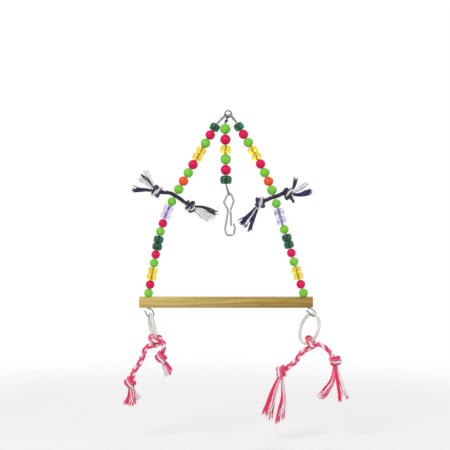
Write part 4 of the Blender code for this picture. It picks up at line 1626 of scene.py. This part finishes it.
@dataclass
class LegWire:
    """A leg's wire from its upper tail round both eyes to its lower tail."""

    leg: Leg
    ring: PlasticRing
    eye_angle: float
    eye_turn: float
    wire: float = 1.0
    play: float = 0.65
    neck_bend: float = 1.0
    neck_run: float = 2.0
    neck_clear: float = 2.5
    foot_width: float = 6.8
    shoulder: float = 1.6
    shoulder_bend: float = 1.0
    foot_radius: float = 6.0

    def line(self) -> Line:
        """The middle of the wire.

        Returns:
            The wire's middle, from its upper tail down.
        """
        eye = WireEye()
        neck, heading = along(self.leg.line, self.leg.neck)
        bar = APEX.point(self.eye_angle)
        reach = (APEX.wire + self.wire) / 2 + self.play
        top = eye.corners(neck, bar, eye.turned(neck, bar, self.eye_turn), reach)
        foot = self.leg.line[-1]
        under = Vector((self.leg.foot_exit, 0.0, self.ring.under - GAP))
        tight = [eye.width / 2] * 2
        upper = rounded(
            [*reversed(top), neck, neck + heading * self.neck_run], [*tight, self.neck_bend]
        )
        straight = [point for point in self.leg.line[1:-1] if point.z < neck.z - self.neck_clear]
        bends = [self.foot_radius] + [self.shoulder_bend] * 2 + [self.foot_width / 2] * 2
        lower = rounded([straight[-1], foot, under, *self.foot_eye(under)], bends)
        return upper + straight[:-1] + lower

    def foot_eye(self, under: Vector) -> Line:
        """Corners of the round eye under the perch that the plastic ring hangs in.

        Args:
            under: where the wire comes out under the perch.

        Returns:
            The four corners, the last of them the wire's cut end.
        """
        ring = self.ring
        out = (ring.hung_at - under).normalized()
        end = ring.hung_at + out * ((ring.width + self.wire) / 2 + GAP * 2)
        side = Vector((ring.normal.x, ring.normal.y, 0.0)).normalized() * (self.foot_width / 2)
        shoulder = under + out * self.shoulder
        cut = shoulder + out * (self.wire / 2)
        return [shoulder + side, end + side, end - side, cut - side]

    def build(self) -> None:
        """Makes the wire on the frame of the swing."""
        line, radii = softened(self.line(), self.wire / 2)
        node = f"{self.leg.side}_leg_wire"
        shape = tube(line, radii, sides=14)
        finished(f"drawn_{node}", shape, [dressed(Hard.STEEL)], "swing_frame", "steel", [node])


LEFT_WIRE = LegWire(LEFT, LEFT_RING, eye_angle=212.0, eye_turn=22.0)
RIGHT_WIRE = LegWire(RIGHT, RIGHT_RING, eye_angle=-32.0, eye_turn=15.0)


@dataclass
class HookStrand:
    """The short strand: its beads, and its wire with a wrapped neck and a lower eye."""

    top: tuple[float, float] = (-2.62, -8.2)
    foot: tuple[float, float] = (-1.9, -62.3)
    eye_angle: float = 262.0
    eye_turn: float = 18.0
    wire: float = 1.0
    play: float = 0.65
    wraps: int = 2
    wrap_steps: int = 30
    wrap_gap: float = 0.04
    pitch: float = 1.5
    start: float = 0.6
    neck_run: float = 4.0
    neck_bend: float = 2.0
    foot_bend: float = 1.0
    snap_eye_turn: float = 12.0
    snap_wire: float = 1.5

    def coil(self, top: Vector, bar: Vector) -> Line:
        """The tail wound round the neck, down towards the first bead.

        Args:
            top: where the neck begins.
            bar: the middle of the ring's wire in the eye.

        Returns:
            The tail's middle, from the eye down.
        """
        out = (bar - top).normalized()
        other = out.cross(BACK).normalized()
        radius = self.wire + self.wrap_gap
        steps = self.wrap_steps * self.wraps
        points = []
        for count in range(steps + 1):
            share = count / steps
            turn = math.tau * self.wraps * share + math.pi
            rise = self.start + self.wraps * self.pitch * (1 - share)
            spin = BACK * math.cos(turn) + other * math.sin(turn)
            points.append(top + out * rise + spin * radius)
        return points

    def line(self, snap_bar: Vector) -> Line:
        """The middle of the wire from its lower tail to the end of its wraps.

        Args:
            snap_bar: the middle of the snap hook's wire in the lower eye.

        Returns:
            The wire's middle.
        """
        eye = WireEye()
        top, foot = spot(self.top), spot(self.foot)
        bar = APEX.point(self.eye_angle)
        reach = (APEX.wire + self.wire) / 2 + self.play
        upper = eye.corners(top, bar, eye.turned(top, bar, self.eye_turn), reach)
        side = eye.turned(foot, snap_bar, self.snap_eye_turn)
        hold = (self.snap_wire + self.wire) / 2 + GAP
        lower = eye.corners(foot, snap_bar, side, hold)
        tight = [eye.width / 2] * 2
        low_line = rounded([top, foot, *lower], [self.foot_bend, *tight])
        coil = self.coil(top, bar)
        shank = (foot - top).normalized()
        corners = [top + shank * self.neck_run, top, upper[0], upper[1], coil[0]]
        top_line = rounded(corners, [self.neck_bend, *tight])
        return list(reversed(low_line[1:])) + top_line[1:-1] + coil

    def build(self, snap_bar: Vector) -> None:
        """Makes the wire and its beads on their body.

        Args:
            snap_bar: the middle of the snap hook's wire in the lower eye.
        """
        line, radii = softened(self.line(snap_bar), self.wire / 2)
        shape = tube(line, radii, sides=14)
        steel = [dressed(Hard.STEEL)]
        finished("wrapped_hook_wire", shape, steel, "hook_strand", "steel", ["hook_wire"])
        axis = [spot(self.top), spot(self.foot)]
        heading = (axis[1] - axis[0]).normalized()
        sizes = [HOOK_SIZES.of(kind) for kind, _ in HOOK_ROW]
        spare = (length_of(axis) - sum(long for _, long in sizes)) / (len(sizes) + 1)
        edge = spare
        for number, ((kind, count), size) in enumerate(zip(HOOK_ROW, sizes)):
            place, _ = along(axis, edge + size[1] / 2)
            Bead("hook", number + 1, kind, count, *size, place, heading).build()
            edge += size[1] + spare


@dataclass
class SnapHook:
    """The bent-wire snap hook: a diamond loop, a bowl and a sprung gate arm."""

    bar: tuple[float, float] = (1.1, -70.1)
    wire: float = 1.5
    bar_width: float = 3.0
    top_bend: float = 2.0
    diamond_left: tuple[float, float] = (-4.9, -7.6)
    diamond_right: tuple[float, float] = (3.9, -6.6)
    neck_height: float = -14.6
    neck_left: float = -1.1
    neck_gap: float = 0.45
    bowl_left: tuple[float, float] = (-3.8, -31.0)
    bowl_bottom: float = -36.7
    bowl_right: tuple[float, float] = (5.0, -30.6)
    tip: tuple[float, float] = (3.7, -26.4)
    gate_knee: tuple[float, float] = (1.5, -20.0)
    gate_tip: tuple[float, float] = (1.5, -28.4)
    bend: float = 1.6
    bowl_bend: float = 3.0
    bowl_in: tuple[float, float] = (1.0, 1.4)
    neck_bend: float = 4.0
    gate_bend: float = 12.0
    gate_gap: float = 0.3

    def spot(self, place: Sequence[float]) -> Vector:
        """A point of the hook, from its place below the bar at its top."""
        return spot((self.bar[0] + place[0], self.bar[1] + place[1]))

    def hung_at(self, strand_foot: Vector) -> Vector:
        """The middle of the wire where the strand's lower eye pulls on it.

        Args:
            strand_foot: where the strand's lower eye begins.

        Returns:
            The point.
        """
        bend = self.spot((0.0, -self.top_bend))
        pull = (bend - strand_foot).normalized()
        return bend - pull * self.top_bend

    def neck_right(self) -> tuple[float, float]:
        """Where the right-hand wire passes the neck."""
        return (self.neck_left + self.wire + self.neck_gap, self.neck_height)

    def build(self) -> None:
        """Makes the hook and its gate, each on its body."""
        corners = [
            self.tip,
            self.bowl_right,
            (self.bowl_right[0] - self.bowl_in[1], self.bowl_bottom),
            (self.bowl_left[0] + self.bowl_in[0], self.bowl_bottom),
            self.bowl_left,
            (self.neck_left, self.neck_height),
            self.diamond_left,
            (-self.bar_width / 2, 0.0),
            (self.bar_width / 2, 0.0),
            self.diamond_right,
            self.neck_right(),
        ]
        bends = [self.bend] + [self.bowl_bend] * 3 + [self.neck_bend]
        bends += [self.bend, self.top_bend, self.top_bend, self.bend]
        hook = rounded([self.spot(place) for place in corners], bends)
        self.bent("bent_snap_hook", hook, "snap_hook")
        start = (self.neck_right()[0], self.neck_height - GAP - self.gate_gap)
        places = [self.spot(place) for place in (start, self.gate_knee, self.gate_tip)]
        arm = rounded(places, [self.gate_bend], step=2.0)
        self.bent("sprung_snap_gate", arm, "snap_gate")

    def bent(self, name: str, line: Line, node: str) -> None:
        """Makes one piece of the hook's wire on its body.

        Args:
            name: the piece's name.
            line: the middle of its wire.
            node: the name of its body and of the solid that it stands for.
        """
        line, radii = softened(line, self.wire / 2)
        shape = tube(line, radii, sides=20)
        finished(name, shape, [dressed(Hard.HOOK_STEEL)], node, "steel", [node])


# Ropes


COTTON_NUMBERS = {cotton: number for number, cotton in enumerate(Cotton)}
YARN_SIDES = 6
CURVE_SPACING = 0.8
ROPE_SPACING = 0.7
KNOT_SPACING = 0.75
TAIL_SPACING = 1.4
SEED_STEP = 31

Offset = tuple[float, float, float]


def close_line(coarse: Line, spacing: float) -> Line:
    """A rope's route with close, even points for its yarns."""
    return evened(smoothed(coarse, CURVE_SPACING), spacing)


class Way(Enum):
    """How a rope's strands pass each other."""

    TWISTED = "twisted"
    PLAITED = "plaited"


@dataclass(frozen=True)
class Strand:
    """One strand of a rope: its cotton and where it starts round the rope, in turns."""

    cotton: Cotton
    start: float


@dataclass(frozen=True)
class Lay:
    """How a rope is laid: its strands, its diameter and the length of one full turn.

    A knot in the rope may show other strands. Where places is given, that many strands fit round
    the rope and some of them are left out.
    """

    strands: tuple[Strand, ...]
    diameter: float
    lay: float
    way: Way = Way.TWISTED
    knotted: tuple[Strand, ...] = ()
    places: int = 0
    yarns: int = 5
    yarn_lay: float = -6.5
    yarn_share: float = 0.46
    yarn_reach: float = 0.6
    plait_swell: float = 1.14

    def shapes(self, course: Course, share: float = 1.0) -> list[bmesh.types.BMesh]:
        """The yarns of the rope along a course, at a share of its diameter.

        Args:
            course: the middle of the rope.
            share: how much of its diameter the rope keeps.

        Returns:
            One shape for each yarn.
        """
        snug = 1.0 + 1.0 / math.sin(math.pi / (self.places or len(self.strands)))
        half = self.diameter / 2 * share
        radius = half / snug
        reach = half - radius
        route = course.laid
        if self.way is Way.PLAITED:
            route = course.plaited
            radius *= self.plait_swell
        made = []
        for strand in self.strands:
            middle = route(reach, math.tau * strand.start, self.lay)
            inner = Course(middle, course.sides[0])
            radii = [radius * self.yarn_share] * len(middle)
            for yarn in range(self.yarns):
                start = math.tau * yarn / self.yarns
                line = inner.laid(radius * self.yarn_reach, start, self.yarn_lay)
                made.append(tube(line, radii, YARN_SIDES, COTTON_NUMBERS[strand.cotton]))
        return made


@dataclass(frozen=True)
class Station:
    """A place along a tassel's yarns: how far they spread, wander and fan out there, in shares."""

    spread: float
    wander: float = 0.0
    fan: float = 0.0


STATIONS = (
    Station(spread=0.35),
    Station(spread=0.62, wander=0.4),
    Station(spread=0.75, wander=1.0, fan=0.35),
    Station(spread=0.8, fan=1.0),
)


@dataclass(frozen=True)
class Tail:
    """A tassel's bundle of yarns: its bend and end from the knot, its width and its cotton."""

    bend: Offset
    end: Offset
    width: float
    cotton: Cotton
    count: int = 12
    yarn: float = 0.4
    flare: float = 1.4
    mixed: Cotton | None = None
    root: float = 0.22
    flatness: float = 0.75
    uneven: tuple[float, float] = (-0.14, 0.05)
    wander: tuple[float, float] = (0.9, 0.6)
    thickness: tuple[float, float] = (0.98, 1.32)
    taper: float = 0.35
    taper_from: float = 0.82

    def shapes(self, middle: Vector, seed: int) -> list[bmesh.types.BMesh]:
        """The yarns from the knot's middle, with uneven ends and the mixed cotton in every third.

        Args:
            middle: the middle of the knot.
            seed: the number that its random draws start from.

        Returns:
            One shape for each yarn.
        """
        dice = random.Random(seed)
        bend = middle + Vector(self.bend)
        end = middle + Vector(self.end)
        start = middle + (bend - middle) * self.root
        out = (end - start).normalized()
        side = out.cross(BACK).normalized()
        deep = out.cross(side)
        half = self.width / 2
        wide, thin = self.wander
        made = []
        for place in range(self.count):
            cotton = self.mixed if self.mixed and place % 3 == 2 else self.cotton
            turn = dice.uniform(0.0, math.tau)
            reach = math.sqrt(dice.random())
            spread = side * math.cos(turn) * reach + deep * math.sin(turn) * reach * self.flatness
            fan = side * dice.uniform(-1.0, 1.0) * self.flare
            run = 1.0 + dice.uniform(*self.uneven)
            wander = side * dice.uniform(-wide, wide) + deep * dice.uniform(-thin, thin)
            middles = (start, bend, bend + (end - bend) * 0.5, start + (end - start) * run)
            points = [
                point + spread * half * station.spread + wander * station.wander + fan * station.fan
                for point, station in zip(middles, STATIONS)
            ]
            line = smoothed(points, TAIL_SPACING)
            radii = self.radii(self.yarn * dice.uniform(*self.thickness), len(line))
            made.append(tube(line, radii, YARN_SIDES, COTTON_NUMBERS[cotton]))
        return made

    def radii(self, thick: float, count: int) -> list[float]:
        """A yarn's radius at each of its points, less towards its cut end.

        Args:
            thick: the yarn's radius at the knot.
            count: how many points the yarn has.

        Returns:
            One radius for each point.
        """
        radii = []
        for number in range(count):
            past = max(0.0, number / (count - 1) - self.taper_from) / (1.0 - self.taper_from)
            radii.append(thick * (1.0 - self.taper * past))
        return radii


@dataclass(frozen=True)
class Passing:
    """A place on the rope inside a knot.

    Its height is in half heights of the knot. It stands off the knot's middle line by millimetres
    and by a share of how far the wraps reach, and it is turned from the knot's front by degrees.
    """

    height: float
    off: float = 0.0
    share: float = 0.0
    turn: float = 0.0


COMING_IN = (
    Passing(height=-1.5),
    Passing(height=-0.9, off=0.5, turn=200.0),
    Passing(height=0.0, off=0.8, turn=200.0),
    Passing(height=0.75, off=1.2, turn=215.0),
    Passing(height=1.02, share=0.62, turn=250.0),
)
TURNING_BACK = (
    Passing(height=-0.95, share=0.6, turn=45.0),
    Passing(height=-0.5, off=0.9, turn=90.0),
)
GOING_OUT = (
    Passing(height=0.3, off=0.8, turn=20.0),
    Passing(height=1.15, off=0.2, turn=20.0),
)


@dataclass(frozen=True)
class Knot:
    """An overhand knot pulled tight: the rope wrapped round itself, and its tails."""

    size: float
    tails: tuple[Tail, ...]
    phase: float = 0.0
    wraps: float = 1.3
    squeeze: float = 0.9
    sunk: float = 0.4
    half_share: float = 0.36
    strand_lay: float = 17.0
    wrap_height: float = 0.62
    wrap_start: float = 300.0
    wrap_step: float = 40.0

    def line(self, middle: Vector, toward: Vector, lay: Lay) -> Line:
        """The middle of the rope through the knot.

        Args:
            middle: the middle of the knot.
            toward: the direction in which the rope enters it.
            lay: how the rope is laid.

        Returns:
            The points of the rope's middle.
        """
        front = (FRONT - toward * FRONT.dot(toward)).normalized()
        across = toward.cross(front)
        outer = self.size / 2 - lay.diameter * self.squeeze * self.sunk
        half = self.size * self.half_share

        def at(place: Passing, turned: float = 0.0) -> Vector:
            """A point of the rope in the knot.

            Args:
                place: the place of the point.
                turned: the degrees by which it is turned further.

            Returns:
                The point.
            """
            angle = math.radians(place.turn + turned + self.phase)
            out = front * math.cos(angle) + across * math.sin(angle)
            reach = place.off + outer * place.share
            return middle + toward * (half * place.height) + out * reach

        points = [at(place) for place in COMING_IN]
        turns = 360.0 * self.wraps
        steps = math.ceil(turns / self.wrap_step)
        for count in range(steps + 1):
            share = count / steps
            height = self.wrap_height * (1.0 - 2.0 * share)
            points.append(at(Passing(height, share=1.0), self.wrap_start + turns * share))
        points += [at(place, self.wrap_start + turns) for place in TURNING_BACK]
        points += [at(place) for place in GOING_OUT]
        return close_line(points, KNOT_SPACING)

    def shape(self, middle: Vector, toward: Vector, lay: Lay, seed: int) -> bmesh.types.BMesh:
        """The whole knot with its tails.

        Args:
            middle: the middle of the knot.
            toward: the direction in which the rope enters it.
            lay: how the rope is laid.
            seed: the number that its tails' random draws start from.

        Returns:
            One shape with all its yarns.
        """
        wound = Lay(lay.knotted or lay.strands, lay.diameter, self.strand_lay)
        made = wound.shapes(Course(self.line(middle, toward, lay)), self.squeeze)
        for count, tail in enumerate(self.tails):
            made += tail.shapes(middle, seed * SEED_STEP + count)
        return gathered(made)


PINK_LAY = Lay(
    (Strand(Cotton.PINK, 0.0), Strand(Cotton.WHITE, 1 / 3), Strand(Cotton.ROSE, 2 / 3)),
    diameter=4.8,
    lay=12.0,
    way=Way.PLAITED,
)
CROSS_LAY = Lay(
    (Strand(Cotton.BLACK, 0.0), Strand(Cotton.BLACK, 1 / 3), Strand(Cotton.NAVY, 2 / 3)),
    diameter=4.2,
    lay=11.0,
    way=Way.PLAITED,
    knotted=(Strand(Cotton.NAVY, 0.0), Strand(Cotton.BLACK, 1 / 3), Strand(Cotton.WHITE, 2 / 3)),
)
SIDE_LAY = Lay(
    (Strand(Cotton.WHITE, 0.6), Strand(Cotton.WHITE, 0.85)), diameter=4.6, lay=-62.0, places=5
)


@dataclass
class PinkRope:
    """A pink and white rope tied round its ring by a full turn, knotted at both ends."""

    ring: PlasticRing
    arms: tuple[tuple[Offset, ...], tuple[Offset, ...]]
    low: Knot
    high: Knot
    pitch: float = 5.4
    reach: float = 4.38
    steps: int = 14
    spacing: float = 3.2
    seed: int = 3

    def coarse(self) -> Line:
        """The rope's middle as the model has it.

        Returns:
            The points of the middle, from the low knot to the high one.
        """
        ring = self.ring
        hub = ring.point(ring.tie)
        forward = ring.tangent(ring.tie)
        if forward.y > 0:
            forward = -forward
        up = (Vector((0.0, 0.0, 1.0)) - forward * forward.z).normalized()
        right = up.cross(forward).normalized()
        if right.x < 0:
            right = -right
        radius = max(ring.thickness, ring.width) / 2 + GAP + PINK_LAY.diameter / 2
        turns = []
        for count in range(self.steps + 1):
            share = count / self.steps
            turn = math.radians(270 + 360 * share)
            step = forward * (self.pitch * (share - 0.5))
            turns.append(hub + (right * math.cos(turn) + up * math.sin(turn)) * radius + step)
        first, second = ([hub + Vector(place) for place in arm] for arm in self.arms)
        left = smoothed([*first, turns[0]], self.spacing)
        other = smoothed([turns[-1], *second], self.spacing)
        return left[:-1] + turns + other[1:]

    def build(self) -> None:
        side = self.ring.side_name
        body = f"{side}_rope"
        coarse = self.coarse()
        line = close_line(coarse, ROPE_SPACING)
        yarns = PINK_LAY.shapes(Course(line, (line[1] - line[0]).cross(BACK)))
        cottons = [dressed(cotton) for cotton in Cotton]
        node = f"{side}_pink_rope"
        rope = finished(f"laid_{node}", gathered(yarns), cottons, body, "pink_cotton", [node])
        ends = (("low", self.low, coarse[0], coarse[1]), ("high", self.high, coarse[-1], coarse[-2]))
        for seed, (end, knot, tip, inner) in enumerate(ends, start=self.seed):
            toward = (tip - inner).normalized()
            shape = knot.shape(tip + toward * self.reach, toward, PINK_LAY, seed)
            node = f"{side}_{end}_knot"
            finished(f"tied_{node}", shape, cottons, body, "pink_cotton", [node])
        ending = coarse[-1]
        ending * MM
        length_of(coarse) * MM
        PINK_LAY.diameter * MM
        [point * MM for point in line]


@dataclass
class CrossRope:
    """A short rope threaded on a leg between two beads, knotted and frayed at both ends."""

    leg: Leg
    route: tuple[tuple[float, float], ...]
    first: Knot
    second: Knot
    reach: float = 1.5
    spacing: float = 3.0
    seed: int = 11

    def build(self) -> None:
        """Makes the rope with both knots as one piece."""
        middle, heading = along(self.leg.line, self.leg.crossing)
        across = Vector((-heading.z, 0.0, heading.x))
        points = [middle + across * over + heading * down for over, down in self.route]
        coarse = smoothed(points, self.spacing)
        course = Course(close_line(coarse, ROPE_SPACING), FRONT)
        made = CROSS_LAY.shapes(course) + SIDE_LAY.shapes(course)
        ends = ((self.first, coarse[0], coarse[1]), (self.second, coarse[-1], coarse[-2]))
        for seed, (knot, tip, inner) in enumerate(ends, start=self.seed):
            toward = (tip - inner).normalized()
            made.append(knot.shape(tip + toward * self.reach, toward, CROSS_LAY, seed))
        node = f"{self.leg.side}_cross_rope"
        cottons = [dressed(cotton) for cotton in Cotton]
        finished(f"laid_{node}", gathered(made), cottons, node, "navy_cotton", [node])


LEFT_PINK_ROPE = PinkRope(
    LEFT_RING,
    (
        (
            (-20.6, -1.2, -33.2),
            (-17.6, -1.4, -25.6),
            (-12.6, -1.6, -18.6),
            (-10.2, -1.8, -11.4),
            (-6.8, -1.0, -6.4),
        ),
        ((5.2, -5.6, -0.4), (7.5, -5.9, -5.0), (6.2, -5.8, -10.6)),
    ),
    Knot(
        10.8,
        (
            Tail((0.0, 0.0, -9.0), (-2.8, 0.0, -20.2), 5.4, Cotton.PINK, 18, 0.4, 2.8, Cotton.ROSE),
            Tail((1.8, -1.5, -9.0), (2.4, -2.0, -19.4), 5.4, Cotton.PINK, 18, 0.4, 2.8, Cotton.WHITE),
            Tail((3.2, 1.0, -8.0), (7.4, 1.4, -15.4), 5.0, Cotton.WHITE, 16, 0.38, 2.6),
        ),
    ),
    Knot(
        10.8,
        (
            Tail((4.6, 0.0, -5.0), (9.4, 0.0, -11.6), 2.8, Cotton.PINK, 9),
            Tail((4.0, -1.0, -7.0), (8.6, -1.5, -14.8), 3.4, Cotton.ROSE, 10, mixed=Cotton.WHITE),
            Tail((2.4, 1.2, -8.0), (5.6, 1.6, -17.0), 4.2, Cotton.WHITE, 14),
        ),
    ),
)
RIGHT_PINK_ROPE = PinkRope(
    RIGHT_RING,
    (
        (
            (-21.8, -3.0, -22.9),
            (-17.2, -3.0, -19.6),
            (-11.8, -2.8, -14.4),
            (-6.6, -2.4, -7.6),
        ),
        ((7.0, -1.4, -1.8), (12.4, -1.0, -4.4), (16.6, -0.8, -8.8), (19.0, -0.6, -12.4)),
    ),
    Knot(
        10.8,
        (
            Tail((-8.4, 0.8, -19.0), (-14.6, 1.0, -38.0), 5.6, Cotton.PINK, 20, 0.44, 2.2, Cotton.ROSE),
            Tail((-6.4, -0.8, -20.0), (-10.6, -1.0, -40.0), 4.6, Cotton.PINK, 16, 0.42, 2.0, Cotton.WHITE),
            Tail((1.0, 0.8, -20.0), (-3.6, 1.0, -44.6), 4.4, Cotton.PINK, 16, 0.44, 1.6, Cotton.ROSE),
            Tail((2.8, -0.8, -23.0), (-0.6, -1.0, -42.0), 4.6, Cotton.WHITE, 16, 0.42, 1.6, Cotton.ROSE),
        ),
    ),
    Knot(
        10.8,
        (
            Tail((-2.6, 0.6, -16.4), (-12.6, 0.8, -32.0), 4.8, Cotton.PINK, 16, 0.42, 2.6),
            Tail((-1.6, -0.8, -17.4), (-11.0, -1.0, -33.4), 4.6, Cotton.ROSE, 14, 0.42, 2.4, Cotton.WHITE),
            Tail((2.0, -0.6, -18.0), (5.0, -0.6, -35.4), 3.4, Cotton.PINK, 10, 0.44),
            Tail((3.8, 0.8, -16.4), (9.4, 1.0, -33.4), 5.0, Cotton.WHITE, 18, 0.42, 2.2, Cotton.ROSE),
        ),
    ),
)
LEFT_CROSS = CrossRope(
    LEFT,
    ((-14.4, 4.2), (-10.0, 2.6), (-4.8, 0.2), (4.6, 0.1), (10.4, 1.1), (14.6, 1.2)),
    Knot(
        11.0,
        (
            Tail((-9.4, 0.6, 1.8), (-21.4, 0.8, 2.4), 3.8, Cotton.NAVY, 16, 0.42, 1.6),
            Tail((-6.8, -1.4, 9.0), (-14.4, -1.8, 15.6), 1.4, Cotton.BLACK, 5),
            Tail((-4.4, -0.8, 8.0), (-9.8, -1.0, 18.4), 3.6, Cotton.WHITE, 13, 0.4, 1.6),
            Tail((-6.6, 1.0, 5.6), (-15.6, 1.4, 12.0), 4.0, Cotton.WHITE, 14, 0.4, 2.0),
        ),
    ),
    Knot(
        11.0,
        (
            Tail((11.0, -0.8, -1.2), (24.2, -1.0, -6.6), 2.8, Cotton.BLACK, 13),
            Tail((9.4, 0.8, -4.6), (21.4, 1.0, -10.6), 4.2, Cotton.WHITE, 16, 0.42, 2.0),
            Tail((7.0, -0.4, -6.0), (15.4, -0.4, -13.4), 4.4, Cotton.WHITE, 16, 0.42, 2.2),
        ),
        phase=140.0,
    ),
)
RIGHT_CROSS = CrossRope(
    RIGHT,
    ((-12.0, 1.0), (-8.4, 0.6), (-4.4, 0.1), (4.4, -0.3), (8.8, -1.0), (11.4, 0.6)),
    Knot(
        11.0,
        (
            Tail((-8.0, 0.8, -8.4), (-18.0, 1.0, -17.6), 4.2, Cotton.NAVY, 18, 0.44, 1.6),
            Tail((-4.8, -0.8, -11.0), (-9.2, -1.0, -24.8), 4.0, Cotton.NAVY, 16, 0.44, 1.6),
            Tail((-6.0, -0.6, -9.6), (-12.8, -0.8, -19.6), 2.4, Cotton.WHITE, 4),
            Tail((-5.2, 1.4, -9.0), (-14.0, 1.8, -21.0), 3.4, Cotton.BLACK, 10),
        ),
    ),
    Knot(
        11.0,
        (
            Tail((4.6, 0.6, 6.4), (6.6, 0.8, 14.8), 2.8, Cotton.NAVY, 11),
            Tail((9.6, -0.6, -0.4), (20.4, -0.8, 2.2), 4.4, Cotton.NAVY, 18, 0.44, 1.4),
            Tail((8.8, 0.8, 4.6), (17.2, 1.0, 9.2), 4.6, Cotton.WHITE, 16, 0.42, 2.0),
            Tail((2.6, -1.0, -4.4), (4.6, -1.2, -7.6), 2.4, Cotton.NAVY, 8, 0.42, 0.6),
        ),
        phase=200.0,
    ),
)


def build_ropes() -> None:
    """Makes the two pink ropes and the two cross ropes."""
    for rope in (LEFT_PINK_ROPE, RIGHT_PINK_ROPE, LEFT_CROSS, RIGHT_CROSS):
        rope.build()


def build_legs() -> None:
    """Makes both legs' wires, beads and plastic rings."""
    for wire in (LEFT_WIRE, RIGHT_WIRE):
        wire.build()
        wire.ring.build()
        for bead in wire.leg.beads:
            bead.build()


def build_strand() -> None:
    """Makes the hook strand and its snap hook."""
    hook = SnapHook()
    strand = HookStrand()
    strand.build(hook.hung_at(spot(strand.foot)))
    hook.build()


def main() -> None:
    """Builds every sub-assembly in order."""
    logging.basicConfig(level=logging.INFO, format="%(message)s")
    Studio().build()
    build_ropes()
    Perch().build()
    APEX.build()
    build_legs()
    build_strand()


if __name__ == "__main__":
    main()
